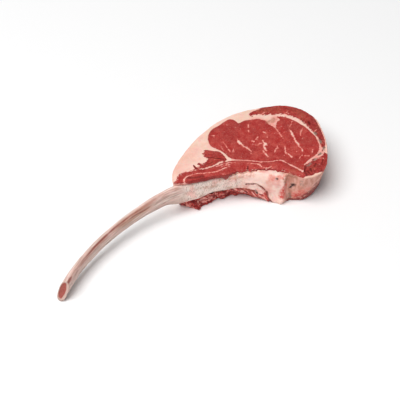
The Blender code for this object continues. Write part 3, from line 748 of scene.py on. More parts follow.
class Wall:
    """What the slab's outer wall pulls along with it as it leans, tears and rounds over."""

    def __init__(self, corners):
        loop = smooth_loop(OUTER, WALL_STEP)
        line, foot = loop[:, :2], loop[:, 2]
        run = np.roll(line, -1, axis=0) - np.roll(line, 1, axis=0)
        inwards = np.stack((-run[:, 1], run[:, 0]), axis=1) / np.linalg.norm(run, axis=1)[:, None]
        apart = np.concatenate(list(squares(corners, line)))
        self.near = np.sqrt(apart.min(axis=1))
        torn = (inwards[:, 1] > 0) & (line[:, 0] > TEAR_SPAN[0]) & (line[:, 0] < TEAR_SPAN[1])
        self.lean, _ = self.pull(apart, inwards * foot[:, None], UNDERCUT_REACH)
        self.rim, self.nearness = self.pull(apart, inwards, RIM_REACH)
        self.torn, _ = self.pull(apart, inwards * torn[:, None], RIM_REACH)
        self.tears = []
        for depth, length, phase in TEARS:
            angle = line[:, 0] / length + phase
            waves = [inwards * (depth * torn * wave(angle))[:, None] for wave in (np.sin, np.cos)]
            self.tears.append([self.pull(apart, wave, TEAR_REACH)[0] for wave in waves])

    @staticmethod
    def pull(apart, amounts, reach):
        """How far each point moves, and its nearness to the wall, from 1 on it to 0 inside."""
        weight = np.exp(-apart / (2 * reach**2))
        total = np.maximum(weight.sum(axis=1), reach * math.sqrt(2 * math.pi) / WALL_STEP)
        return (weight @ amounts) / total[:, None], weight.sum(axis=1) / total


def rim_profile(share):
    """How far the rounded rim is pulled in at a share of the thickness, from 0 to 1."""
    from_rim = np.minimum(share, 1 - share) * THICKNESS / RIM_HEIGHT
    return 1 - np.sqrt(1 - np.clip(1 - from_rim, 0, 1) ** 2)


def beside_the_rib(points):
    """How far points stand out from the rib's middle and up its section, half its width, and the way out."""
    run = points[:, :2] - RIB_CENTRE
    away = np.linalg.norm(run, axis=1)
    angle = np.clip(np.degrees(np.arctan2(run[:, 0], run[:, 1])), RIB_STATIONS[0][0], RIB_STATIONS[-1][0])
    middle, across, height, _ = eased(RIB_STATIONS, angle).T
    return away - RIB_RADIUS, (points[:, 2] - middle) / (height / 2), across / 2, run / away[:, None]


def behind_the_rib(points, side):
    """Draw the near wall in behind the bone's face, with ragged lips above and below it."""
    outwards, up, half, out = beside_the_rib(points)
    x = points[:, 0]
    flap = FLAP[2] * np.clip(1 - np.abs(x - FLAP[0]) / FLAP[1], 0, 1) * (up > 0)
    lip, ease, ragged = np.where(up[:, None] > 0, UPPER_LIP, LOWER_LIP).T
    bare = step_up(lip - flap + ragged * rough(points, LIP_RAGS) - np.abs(up), 0, ease) * hump(x, *BARE_X)
    face = -half * np.clip(1 - np.abs(up) ** BONE_SQUARENESS, 0, 1) ** (1 / BONE_SQUARENESS) + BEHIND_BONE
    inwards = np.clip(face - outwards, 0, None) * bare * (outwards < half) * step_up(side, *PULLED_IN)
    return points + np.column_stack((out * inwards[:, None], 0 * x))


def slab_points(plan, share, at, wall, depth, vein):
    """Places of the slab's points: plan point, share of the thickness, and what lies around them.

    `at` numbers each point's corner in the plan, for the wall's pulls.
    """
    rim, torn, nearness = wall.rim[at], wall.torn[at], wall.nearness[at]
    risen = share[:, None]
    bend = FOOT_CURVE * np.linalg.norm(torn, axis=1)[:, None] * step_up(plan[:, :1], *FOOT_CURVE_X)
    moved = plan + wall.lean[at] * (1 - risen) ** (1 + bend)
    for sines, cosines in wall.tears:
        twisted = sines[at] * np.cos(TEAR_TWIST * risen) + cosines[at] * np.sin(TEAR_TWIST * risen)
        moved = moved + np.maximum(0, 1 - risen / TEAR_TOP) * twisted
    moved = moved + rim * RIM_ROUND * rim_profile(risen)
    wave = sum(
        height * np.sin(plan[:, 0] / long) * np.cos(plan[:, 1] / wide) for height, long, wide in FACE_WAVES
    )
    height = share * (THICKNESS + wave)
    placed = np.column_stack((moved, height))

    # The outer wall is lumpy, and ragged under the rib.
    placed[:, :2] += rim * rough(placed, WALL_LUMPS)[:, None]
    rags = rough(placed + np.outer(height, (1, 0, 0)), WALL_RAGS) * hump(share, *RAGGED_SHARES)
    placed[:, :2] -= torn * rags[:, None]

    # Each muscle swells a little between its seams, and the veins and the fat stand a little proud.
    swell = MUSCLE_SWELL * (1 - np.exp(-np.clip(depth, 0, None) / SWELL_REACH))
    relief = (
        swell
        + FAT_RISE[0] * step_up(depth, 0, -FAT_RISE[1])
        + rough(placed, FACE_GRAIN) * step_up(depth, *GRAIN_DEPTH)
        + rough(placed, FACE_LUMPS)
        + VEIN_RISE[0] * step_up(vein, -VEIN_RISE[1], VEIN_RISE[1])
        - FACE_SINK
    )
    placed = behind_the_rib(placed, nearness)
    over_joint = hump(placed[:, 0], *JAGGED_X) * (placed[:, 1] < 0) * step_up(share, *JAGGED_SHARES)
    placed[:, :2] += rim * (rough(placed, RIM_JAGS) * over_joint)[:, None]
    hollows = np.clip(UNDER_RELIEF[0] - UNDER_RELIEF[1] * relief, 0, HOLLOW)
    placed[:, 2] += relief * step_up(share, *FACE_SHARES) + hollows * step_up(share, *UNDER_SHARES)
    placed[:, 2] -= RIM_DROP * nearness**2 * (share == 1)
    placed[:, 2] = np.maximum(placed[:, 2], 0)
    return placed


def border_edges(faces):
    """Edges that only one of the faces uses, running the way that this face does."""
    edges = np.concatenate([faces[:, [0, 1]], faces[:, [1, 2]], faces[:, [2, 0]]])
    known = set(map(tuple, edges.tolist()))
    return [(a, b) for a, b in edges.tolist() if (b, a) not in known]


def chains(edges):
    """The border's edges, sorted into closed chains."""
    after = dict(edges)
    found = []
    while after:
        start, following = after.popitem()
        chain = [start]
        while following != start:
            chain.append(following)
            following = after.pop(following)
        found.append(np.array(chain))
    return found


def row_shares(count):
    """Shares of the thickness where a wall has its rows, crowded towards the rims, without the rims."""
    even = np.linspace(0, 1, count)
    return (even - ROW_CROWDING * np.sin(2 * math.pi * even) / (2 * math.pi))[1:-1]


def through_the_slab(faces, wall):
    """A piece's points as their corners and shares of the thickness, its triangles, and its sharp edges."""
    whole = np.unique(faces)
    index = np.full(len(wall.near), -1)
    index[whole] = np.arange(len(whole))
    at, share = [whole, whole], [np.zeros(len(whole)), np.ones(len(whole))]
    total = 2 * len(whole)
    triangles = [index[faces][:, ::-1], index[faces] + len(whole)]
    sharp = []
    for chain in chains(border_edges(faces)):
        outside = wall.near[chain] < ON_OUTLINE
        seam = index[chain[~outside]]
        sharp.extend((seam, seam + len(whole)))
        rows = [index[chain]]
        for row in row_shares(WALL_ROWS if outside.mean() > BORDER_SHARE else SEAM_ROWS):
            at.append(chain)
            share.append(np.full(len(chain), row))
            rows.append(total + np.arange(len(chain)))
            total += len(chain)
        rows.append(index[chain] + len(whole))
        for low, high in zip(rows, rows[1:]):
            low_after, high_after = np.roll(low, -1), np.roll(high, -1)
            triangles.append(np.column_stack((low, low_after, high_after)))
            triangles.append(np.column_stack((low, high_after, high)))
    return [np.concatenate(parts) for parts in (at, share, triangles, sharp)]


def slab_piece(name, plan, colours, wall, material):
    """One muscle or the fat, through the whole thickness.

    The colours are how deep each corner lies in the lean and in the darker lean.
    """
    corners, faces, names = plan
    at, share, triangles, sharp = through_the_slab(faces[names == name], wall)
    light, dark = (into[at] for into in colours)
    depth = np.maximum(light, dark)
    x, y = corners[at].T
    drift = [BROAD.at(np.column_stack((x, y, 0 * x + way)), DRIFT_SIZE) for way in DRIFT_WAYS]
    wandered = corners[at] + VEIN_DRIFT * np.column_stack(drift) * (1 - share)[:, None]
    vein = veins(wandered)
    points = slab_points(corners[at], share, at, wall, depth, vein)
    piece = mesh_object(name, points, triangles, material)
    sharpen(piece, sharp)

    tinted, blushed, ragged, dark_or_shaded, strokes = (
        marks(wandered, kinds) for kinds in (TINTS, BLUSHES, RAGGED_EDGES, DARK_AND_SHADE_MARKS, STROKES)
    )
    nearness = wall.nearness[at]
    on_wall = step_up(nearness, *ON_WALL) * (share > WALL_SHARES[0]) * (share < WALL_SHARES[1])
    covered = on_wall * step_up(points[:, 0], *SKIN_X)
    thin = (WALL_FAT * on_wall + SKIN_FAT * covered) * step_up(share, *LEAN_SHARES)
    near = step_up(nearness, *BY_WALL) * (y < NEAR_Y)
    rags = near * (x < RAGS_END) * step_up(share, *RAGS_SHARES)
    by_bone = near * (x < BARE_X[2])
    # A painted shadow line along the gap between the bone and the lean under it.
    bone_gap_shadow = by_bone * bell(beside_the_rib(points)[1] - SHADOW_LINE_PLACE, SHADOW_LINE_WIDTH)
    measure(
        piece,
        points,
        deep=step_up(dark - light, -DARK_BORDER, DARK_BORDER),
        tint=tinted,
        blush=blushed,
        ragged=ragged * (1 - on_wall),
        vein=vein,
        # Dark strokes and stretches of lean, with painted shade along the seams and the painted shadow line
        # under the bone.
        dark=np.maximum(dark_or_shaded * (share > 0.5), np.maximum(bone_gap_shadow, strokes)),
        skin=covered * step_up(points[:, 1], *SKIN_Y) * (1 - SKIN_THINNED * step_up(share, *SKIN_SHARES)),
        rags=rags,
        depth=np.clip(depth - thin + STROKE_DEPTH * strokes + RAGS_DEPTH * rags, -DEPTH_FAR, DEPTH_FAR),
        # Painted shade on the lean's wall just over the bone.
        shade=by_bone * hump(share, *SHADE_SHARES),
    )
    return piece


# ---- Meshes ----
def mesh_object(name, points, triangles, material):
    """A smooth-shaded piece from points in millimetres in the plan's frame."""
    shifted = (np.asarray(points) - (*ORIGIN, 0)) * MILLIMETRE
    mesh = bpy.data.meshes.new(name + "_meat")
    count = len(triangles)
    mesh.vertices.add(len(shifted))
    mesh.vertices.foreach_set("co", shifted.astype(np.float32).ravel())
    mesh.loops.add(3 * count)
    mesh.loops.foreach_set("vertex_index", triangles.astype(np.int32).ravel())
    mesh.polygons.add(count)
    mesh.polygons.foreach_set("loop_start", np.arange(0, 3 * count, 3, dtype=np.int32))
    mesh.update(calc_edges=True)
    mesh.shade_smooth()
    mesh.materials.append(material)
    piece = bpy.data.objects.new(name + "_meat", mesh)
    bpy.context.scene.collection.objects.link(piece)
    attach(piece, "root")
    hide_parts(name)
    return piece


def sharpen(piece, corners):
    """Keep the shading crisp along the edges between the given corners."""
    mesh = piece.data
    ends = np.empty(2 * len(mesh.edges), np.int32)
    mesh.edges.foreach_get("vertices", ends)
    chosen = np.zeros(len(mesh.vertices), bool)
    chosen[corners] = True
    mesh.edges.foreach_set("use_edge_sharp", chosen[ends].reshape(-1, 2).all(axis=1))


def measure(piece, points, **layers):
    """Store named numbers for each of the piece's points, with the marks that any piece may carry."""
    layers.update((name, marks(points, kinds)) for name, kinds, _ in STAINS)
    for name, values in layers.items():
        layer = piece.data.attributes.new(name, "FLOAT", "POINT")
        layer.data.foreach_set("value", np.asarray(values, np.float32))


def section_ring(squareness):
    """Points round a section of unit half-width and half-height, spread evenly along it."""
    angle = np.linspace(0, 2 * math.pi, FINER * SECTION_POINTS, endpoint=False)
    side, up = (np.sign(part) * np.abs(part) ** (2 / squareness) for part in (np.cos(angle), np.sin(angle)))
    steps = np.hypot(np.diff(side, append=side[0]), 2 * np.diff(up, append=up[0]))
    along = np.concatenate(([0.0], np.cumsum(steps)[:-1]))
    pick = np.searchsorted(along, np.linspace(0, steps.sum(), SECTION_POINTS, endpoint=False))
    return side[pick], up[pick]


def tube_triangles(rows):
    """Triangles of a tube of rings, whose flat ends are rings that shrink to a point."""
    ring = np.arange(SECTION_POINTS)
    low, after = (
        (np.arange(rows - 1)[:, None] * SECTION_POINTS + part).ravel() for part in (ring, np.roll(ring, -1))
    )
    return np.concatenate([
        np.column_stack((low, low + SECTION_POINTS, after + SECTION_POINTS)),
        np.column_stack((low, after + SECTION_POINTS, after)),
    ])


def close_ends(rings, pit):
    """Rings with more of them across both ends, and how far out on its end each point lies, 1 on the rim."""
    shares = np.linspace(1, END_SHARE, END_RINGS + 1)[1:]
    fills = []
    for end, beside in ((0, 1), (-1, -2)):
        middle = rings[end].mean(axis=0)
        inward = rings[beside].mean(axis=0) - middle
        inward /= np.linalg.norm(inward)
        sunk = [inward * pit * (1 - share**4) for share in shares]
        fills.append([middle + (rings[end] - middle) * share + sink for share, sink in zip(shares, sunk)])
    everything = np.concatenate([fills[0][::-1], rings, fills[1]])
    outs = np.concatenate([shares[::-1], np.full(len(rings), OFF_END), shares])
    return everything, np.repeat(outs, SECTION_POINTS)


def outward(rings):
    """Unit directions out of a tube at each of its points."""
    away = rings - rings.mean(axis=1, keepdims=True)
    around = np.roll(rings, -1, axis=1) - np.roll(rings, 1, axis=1)
    ahead = np.gradient(rings, axis=0)
    normal = np.cross(around, ahead)
    normal /= np.maximum(np.linalg.norm(normal, axis=2, keepdims=True), 1e-9)
    return normal * np.sign((normal * away).sum(axis=2, keepdims=True))


# ---- The rib ----
def rib(material):
    """The bare rib: an arc with a scraped, grooved surface and a sawn tip."""
    start, end = RIB_STATIONS[0][0], RIB_STATIONS[-1][0]
    length = math.radians(end + RIB_OVERLAP - start) * RIB_RADIUS
    angles = np.linspace(start, end + RIB_OVERLAP, round(length / TUBE_STEP))
    middle, across, height, lean = eased(RIB_STATIONS, np.minimum(angles, end)).T[..., None]
    turn, tilt = np.radians(angles)[:, None], np.radians(lean)
    side, up = section_ring(BONE_SQUARENESS)
    sideways, upwards = across / 2 * side, height / 2 * up
    from_middle = RIB_RADIUS + sideways * np.cos(tilt) - upwards * np.sin(tilt)
    from_tip = (turn - turn[0]) * RIB_RADIUS
    ahead = RIB_END_SLANT * np.maximum(0, 1 - from_tip / RIB_END_REACH) ** 2 * upwards
    rings = np.stack((
        RIB_CENTRE[0] + from_middle * np.sin(turn) + ahead * np.cos(turn),
        RIB_CENTRE[1] + from_middle * np.cos(turn) - ahead * np.sin(turn),
        middle + sideways * np.sin(tilt) + upwards * np.cos(tilt),
    ), axis=2)

    # Where each point stands in the bone's own terms: along it, round it and up the section.
    along = np.repeat(from_tip, SECTION_POINTS)
    everywhere = np.repeat(angles, SECTION_POINTS)
    steps = np.hypot(np.diff(side, append=side[0]) * RIB_HALF / 2, np.diff(up, append=up[0]) * RIB_HALF)
    girth, rise, sides = (np.tile(part, len(angles)) for part in (np.cumsum(steps), up, side))
    near = step_up(sides, *NEAR_SIDE)
    own = np.column_stack((along, girth, 0 * along))
    wander = rough(own, LINE_WANDER)
    line = 0 * along
    for half, places in RIB_LINES:
        at, place, strength = np.array(places, float).T
        off_line = (rise - np.interp(everywhere, at, place) - wander) * RIB_HALF
        line = np.maximum(line, near * np.interp(everywhere, at, strength, 0, 0) * bell(off_line, half))
    swollen = near * RIB_SWELL * hump(along, *SWELL_STRETCH) * bell(rise - SWELL_UP[0], SWELL_UP[1])
    tan = near * hump(along, *TAN_STRETCH) * step_up(rise, *TAN_UP)

    points = rings.reshape(-1, 3)
    relief = rough(points, BONE_LUMPS) + rough(own, BONE_GROOVES) - LINE_DEPTH * line + swollen - BONE_SINK
    settled = CALM_TIP[0] + (1 - CALM_TIP[0]) * step_up(along, 0, CALM_TIP[1])
    points = points + outward(rings).reshape(-1, 3) * (relief * settled)[:, None]
    rings, out = close_ends(points.reshape(rings.shape), TIP_PIT)
    points = rings.reshape(-1, 3)
    extra = END_RINGS * SECTION_POINTS

    def padded(values, first=0.0, last=0.0):
        return np.concatenate((np.full(extra, first), values, np.full(extra, last)))

    marrow = out.copy()
    marrow[:extra] += NEAR_SHELL * step_up(np.tile(side, END_RINGS), *SHELL_SIDE)
    spongy = (out < OFF_END) * step_up(marrow, *MARROW_EDGE)
    toward = np.array((math.cos(turn[0, 0]), -math.sin(turn[0, 0]), 0))
    points = points + toward * (spongy * (SPONGE_DEPTH + rough(points, SPONGE_PITS)))[:, None]
    points[:, 2] = np.maximum(points[:, 2], LOWEST)
    marrow[extra:] = OFF_END
    piece = mesh_object("rib_bone", points, tube_triangles(len(rings)), material)
    measure(
        piece,
        points,
        line=padded(line),
        tan=padded(tan),
        along=padded(along, 0, length),
        around=padded(girth),
        rise=padded(rise),
        near=padded(near),
        marrow=marrow,
    )
    return piece


# ---- The joint tissue ----
def joint_tissue(material):
    """The gristle at the end of the rib, a block along the near wall."""
    stations = np.array(JOINT_STATIONS, float)
    runs = np.linalg.norm(np.diff(stations[:, :2], axis=0), axis=1)
    keyed = np.column_stack((np.concatenate(([0.0], np.cumsum(runs))), stations))
    length = keyed[-1, 0]
    at = np.linspace(-JOINT_TUCK, length, round((length + JOINT_TUCK) / TUBE_STEP))
    x, y, middle, across, height = eased(keyed, at).T[..., None]
    tucked = 1 - TUCKED_IN * step_up(at, TUCK_ENDS, -JOINT_TUCK)[:, None]
    beside = (np.minimum(at, length - 1) - 1, np.minimum(at + 1, length))
    behind, before = (eased(keyed, place)[:, :2] for place in beside)
    ahead = before - behind
    ahead /= np.linalg.norm(ahead, axis=1)[:, None]
    into_nose = np.maximum(0, (at - length + JOINT_NOSE) / JOINT_NOSE)[:, None]
    side, up = section_ring(JOINT_SQUARENESS)
    sideways = across * tucked * np.sqrt(1 - NOSE_TAPER * into_nose**2) / 2 * side
    rings = np.stack((
        x - ahead[:, 1:] * sideways,
        y + ahead[:, :1] * sideways,
        np.maximum(middle + height * tucked / 2 * up, LOWEST),
    ), axis=2)
    normal = outward(rings).reshape(-1, 3)
    points = rings.reshape(-1, 3)

    def below_lean_line(places):
        return np.interp(places[:, 0], *np.array(LOWER_LEAN_LINE).T) - places[:, 2]

    faces_near = np.clip(normal @ NEARWARDS, 0, 1)
    fold = from_line(points, FOLD)
    middle_x, half_foot, reach, foot_height = FOOT_PUSH
    foot = reach * bell(points[:, 0] - middle_x, half_foot) * step_up(points[:, 2], foot_height, 0)
    lean = step_up(below_lean_line(points) + rough(points, LEAN_EDGE), *LEAN_STARTS)
    relief = (
        rough(points, JOINT_LUMPS)
        + RIDGE_HEIGHT * bell(from_line(points, RIDGE), RIDGE_WIDTH)
        + (foot - NOSE_SINK[2] * step_up(points[:, 0], *NOSE_SINK[:2])) * faces_near
        - CREASE[0] * bell(fold, CREASE[1])
        + CREASE_LIP[0] * bell(fold - CREASE_LIP[2], CREASE_LIP[1])
        - marks(points, SHADED_PIT_MARKS)
        + lean * (LEAN_PROUD + rough(points, LEAN_SHREDS))
    )
    rings, _ = close_ends((points + normal * relief[:, None]).reshape(rings.shape), -NOSE_BULGE)
    points = rings.reshape(-1, 3)
    points[:, 2] = np.maximum(points[:, 2], LOWEST)
    piece = mesh_object("joint_tissue", points, tube_triangles(len(rings)), material)
    measure(piece, points, lower=np.clip(below_lean_line(points), -DEPTH_FAR, DEPTH_FAR))
    return piece


# ---- Materials ----
class Shader:
    """A material's nodes, added and joined in a few words."""

    def __init__(self, name):
        self.material = bpy.data.materials.new(name)
        self.material.use_nodes = True
        self.nodes = self.material.node_tree.nodes
        self.surface = self.nodes["Principled BSDF"]
        self.place = self.add("NewGeometry")["Position"]

    def join(self, source, socket):
        """Feed a socket from another one or from a number or colour."""
        if isinstance(source, bpy.types.NodeSocket):
            self.material.node_tree.links.new(source, socket)
        elif socket.type == "RGBA":
            socket.default_value = (*source, 1)
        else:
            socket.default_value = source

    def add(self, kind, inputs=(), **settings):
        """The outputs of a new node with these settings. Its inputs come as pairs of a key and a source."""
        node = self.nodes.new("ShaderNode" + kind)
        for name, value in settings.items():
            setattr(node, name, value)
        for key, source in inputs:
            self.join(source, node.inputs[key])
        return node.outputs

    def layer(self, name):
        """One of the numbers that the mesh stores."""
        return self.add("Attribute", attribute_name=name)["Fac"]

    def maths(self, operation, *numbers):
        return self.add("Math", enumerate(numbers), operation=operation)[0]

    def times(self, first, second):
        return self.maths("MULTIPLY", first, second)

    def plus(self, value, *others):
        """A value and others added to it, each with the factor that it counts by."""
        for other, factor in others:
            value = self.maths("MULTIPLY_ADD", other, factor, value)
        return value

    def centred(self, noise):
        """Noise shifted so that its middle is about 0."""
        return self.maths("SUBTRACT", noise, 0.5)

    def rise(self, value, low, high, bottom=0.0, top=1.0):
        """A smooth rise from bottom to top as a value goes from low to high."""
        inputs = enumerate((value, low, high, bottom, top))
        return self.add("MapRange", inputs, interpolation_type="SMOOTHSTEP")[0]

    def lumps(self, size, stretch=(1, 1, 1), shift=0.0, where=None):
        """The place counted in lumps of a size in millimetres, each stretched along the three axes."""
        return self.add("Mapping", (
            ("Scale", tuple(1 / (MILLIMETRE * size * part) for part in stretch)),
            ("Location", (shift,) * 3),
            ("Vector", where or self.place),
        ))[0]

    def noise(self, size, detail=3.0, roughness=0.55, **place):
        """Noise whose lumps are about the given size in millimetres. Its value is about 0 to 1."""
        return self.add("TexNoise", (
            ("Scale", 1.0),
            ("Detail", detail),
            ("Roughness", roughness),
            ("Vector", self.lumps(size, **place)),
        ))["Fac"]

    def cells(self, size, **place):
        """How far a point lies from the edge of the cell that it is in."""
        inputs = (("Scale", 1.0), ("Vector", self.lumps(size, **place)))
        return self.add("TexVoronoi", inputs, feature="DISTANCE_TO_EDGE")["Distance"]

    def turned(self, degrees, tipped=0.0):
        """The place turned about the upright axis, and then tipped about the second one."""
        place = self.place
        for turn in ((0, 0, degrees), (0, tipped, 0)):
            rotation = tuple(math.radians(part) for part in turn)
            place = self.add("Mapping", (("Rotation", rotation), ("Vector", place)))[0]
        return place

    def coats(self, colour, *coats):
        """A colour under others. Each comes with how much of it shows, from 0 to 1, or with the arguments
        of a rise that says so, which a further number may lessen.
        """
        for coat, share, *bands in coats:
            if bands:
                share = self.rise(share, *bands[:4])
            for factor in bands[4:]:
                share = self.times(share, factor)
            inputs = ((0, share), (6, colour), (7, coat))
            colour = self.add("Mix", inputs, data_type="RGBA", clamp_factor=True)[2]
        return colour

    def finish(self, colour, roughness, grain, depth, strength, softness=0.0, reach=0.0, shine=0.5):
        """The material, with fine relief from a grain of the given depth in millimetres.

        Softness is how much light passes under its surface, and reach how many millimetres deep.
        """
        relief = (("Height", grain), ("Distance", depth * MILLIMETRE), ("Strength", strength))
        for name, source in (
            ("Base Color", colour),
            ("Roughness", roughness),
            ("Normal", self.add("Bump", relief)["Normal"]),
            ("Subsurface Weight", softness),
            ("Subsurface Scale", reach * MILLIMETRE),
            ("Specular IOR Level", shine),
        ):
            self.join(source, self.surface.inputs[name])
        return self.material


def srgb(red, green, blue):
    """A colour given as it shows on a screen, from 0 to 255, as the shader takes it."""
    return tuple(
        c / 12.92 if c <= 0.04045 else ((c + 0.055) / 1.055) ** 2.4
        for c in (part / 255 for part in (red, green, blue))
    )


LEAN_RED = srgb(170, 36, 34)
LEAN_PALE = srgb(188, 70, 62)
LEAN_DARK = srgb(128, 26, 26)
LEAN_BROWN = srgb(166, 78, 58)
BLOOD = srgb(204, 78, 70)
DEEP_RED = srgb(112, 26, 26)
SHADE_RED = srgb(140, 50, 46)
RAG_DARK = srgb(132, 32, 32)
RAG_RED = srgb(202, 76, 68)
DARK_LEAN_AND_SHADOW = srgb(86, 14, 14)
PIT_SHADOW = srgb(48, 12, 14)
FAT_WHITE = srgb(244, 206, 190)
FAT_PINK = srgb(240, 172, 160)
BLUSH = srgb(238, 158, 146)
VEIN_PINK = srgb(232, 134, 122)
FAT_CREAM = srgb(234, 198, 174)
FASCIA = srgb(204, 140, 122)
FASCIA_PALE = srgb(224, 168, 152)
BROWN = srgb(180, 122, 102)
FOLD_SHADE_BROWN = srgb(146, 68, 60)
FLUSH = srgb(228, 140, 126)
GREY = srgb(140, 118, 106)
GRISTLE_WHITE = srgb(246, 212, 200)
GRISTLE_PINK = srgb(226, 152, 140)
BONE_GREY = srgb(214, 190, 178)
BONE_PINK = srgb(228, 190, 180)
BONE_PALE = srgb(248, 228, 218)
BONE_TAN = srgb(204, 160, 138)
BONE_DARK = srgb(164, 134, 122)
BONE_LINE = srgb(136, 64, 52)
BONE_RED = srgb(184, 132, 120)
MARROW = srgb(172, 96, 86)

# The marks that any piece may carry, in the order in which their colours lie over each other. Some are
# painted shade: at the foot of the wall and under the rim, along the creases and in the pits.
STAINS = (
    ("pale", PALE_MARKS, FAT_PINK),
    ("flush", FLUSH_MARKS, FLUSH),
    ("brown", BROWN_MARKS, BROWN),
    ("grey", GREY_MARKS, GREY),
    ("deep_shade", DEEP_SHADE_MARKS, SHADE_RED),
    ("red", RED_MARKS, BLOOD),
    ("fold", FOLD_SHADE_MARKS, FOLD_SHADE_BROWN),
    ("pit_shadow", SHADED_PIT_MARKS, PIT_SHADOW),
)


def stained(shader, colour, ragged):
    """A colour with the marks laid over it, patchy and soft."""
    patchy = shader.rise(shader.noise(2.4, 3.0, 0.6, shift=21.0), 0.34, 0.62, 0.45, 1.3)
    patchy = shader.times(patchy, shader.plus(1.0, (ragged, 1.2)))
    return shader.coats(colour, *(
        (stain, shader.times(shader.layer(name), patchy), 0.0, 1.05) for name, _, stain in STAINS
    ))


def membrane(shader):
    """Pale grey, beige and pink membrane with dark grains, as on the bone beside the meat."""
    patch = shader.noise(7.0, stretch=(1.4, 1, 0.8), shift=31.0)
    return shader.coats(
        BONE_GREY,
        (BONE_PALE, patch, 0.34, 0.6, 0.1, 0.9),
        (FAT_PINK, shader.noise(9.0, 3.0, 0.5, shift=33.0), 0.42, 0.66, 0.0, 0.6),
        (BONE_TAN, patch, 0.46, 0.32, 0.0, 0.6),
        (BONE_DARK, shader.noise(1.0, 3.0, 0.6, stretch=(1, 1, 2.5), shift=35.0), 0.5, 0.68, 0.0, 0.75),
    )


def fascia(shader):
    """Pinkish brown skin of the near wall, with paler and darker streaks up it."""
    streak = shader.noise(3.0, 3.0, 0.6, stretch=(1, 1, 3), shift=51.0)
    return shader.coats(FASCIA, (FASCIA_PALE, streak, 0.4, 0.6), (BROWN, streak, 0.42, 0.3, 0.0, 0.5))


def meat(name):
    """Raw lean and fat, whose borders the mesh's measures give and noise makes ragged."""
    shader = Shader(name)
    fine = shader.noise(1.1)
    ragged = shader.centred(fine)
    middling = shader.noise(2.4, 3.0, 0.6, stretch=(1, 1, 4), shift=17.0)
    broad = shader.noise(6.0, shift=3.0)
    broader = shader.noise(17.0, 2.0, shift=7.0)
    mottle = shader.noise(2.0, 3.0, 0.65, stretch=(1, 1, 3), shift=41.0)
    flecks = shader.noise(2.3, 2.0, stretch=(1, 1.5, 5), shift=11.0)
    streak = shader.noise(2.6, stretch=(3.4, 1, 1), shift=43.0, where=shader.turned(RAG_TURN))
    torn = shader.centred(shader.noise(2.4, 3.0, 0.65, stretch=(1.6, 0.8, 3), shift=13.0))
    depth, deep = shader.layer("depth"), shader.layer("deep")

    # Lean: bundles of fibres cut across, with a paler web between them.
    bundle = shader.cells(1.5, stretch=(1, 1, 6))
    deepness = shader.plus(shader.rise(broader, 0.42, 0.7, 0.0, 0.35), (deep, 0.2))
    shreds = shader.coats(RAG_DARK, (RAG_RED, streak, 0.44, 0.56), (FAT_PINK, streak, 0.56, 0.64, 0.0, 0.85))
    dark = shader.plus(shader.layer("dark"), (ragged, 0.8))
    vein = shader.plus(shader.layer("vein"), (ragged, 1.6), (torn, 3.2))
    thread = shader.coats(VEIN_PINK, (FAT_WHITE, vein, 0.1, 1.0))
    lean = shader.coats(
        LEAN_RED,
        (LEAN_PALE, broad, 0.35, 0.68),
        (LEAN_DARK, deepness),
        (LEAN_DARK, middling, 0.5, 0.75, 0.0, 0.5),
        (FAT_PINK, bundle, 0.02, 0.16, 0.1, 0.0),
        (LEAN_DARK, depth, 0.2, 1.8, 0.15, 0.0),
        (LEAN_BROWN, broad, 0.35, 0.6, 0.2, 0.8, shader.layer("tint")),
        (FAT_PINK, fine, 0.6, 0.74, 0.0, 0.35),
        (LEAN_DARK, fine, 0.42, 0.28, 0.0, 0.6),
        (DEEP_RED, mottle, 0.54, 0.66, 0.0, 0.6, deep),
        (BLOOD, mottle, 0.46, 0.32, 0.0, 0.75, deep),
        (FAT_PINK, flecks, 0.68, 0.75, 0.0, 0.55),
        (shreds, shader.layer("rags")),
        # Painted shade on the lean's wall over the bone.
        (DEEP_RED, shader.times(shader.layer("shade"), 0.5)),
        # Darker lean, with painted shade and shadow in the gaps.
        (DARK_LEAN_AND_SHADOW, dark, 0.3, 1.0, 0.0, 0.8),
        (thread, vein, -0.45, 0.25, 0.0, 0.9),
    )

    # Fat: nearly white, warmer and pinker in places.
    fat = shader.coats(
        FAT_WHITE,
        (FAT_PINK, broad, 0.42, 0.72, 0.0, 0.5),
        (FAT_CREAM, broader, 0.45, 0.65, 0.0, 0.5),
        (FAT_PINK, depth, -1.6, -0.1, 0.0, 0.5),
        (BLUSH, middling, 0.3, 0.6, 0.5, 1.0, shader.layer("blush")),
        (fascia(shader), shader.layer("skin")),
    )

    wild = shader.times(shader.layer("ragged"), 9.0)
    is_lean = shader.rise(shader.plus(depth, (ragged, 1.8), (torn, wild)), -0.5, 0.1)
    colour = stained(shader, shader.coats(fat, (lean, is_lean)), ragged)
    wet = shader.rise(is_lean, 0.0, 1.0, 0.5, 0.4)
    grain = shader.plus(shader.times(fine, 0.6), (bundle, 0.8))
    return shader.finish(colour, wet, grain, 0.22, 0.6, softness=0.1, reach=1.2, shine=0.2)


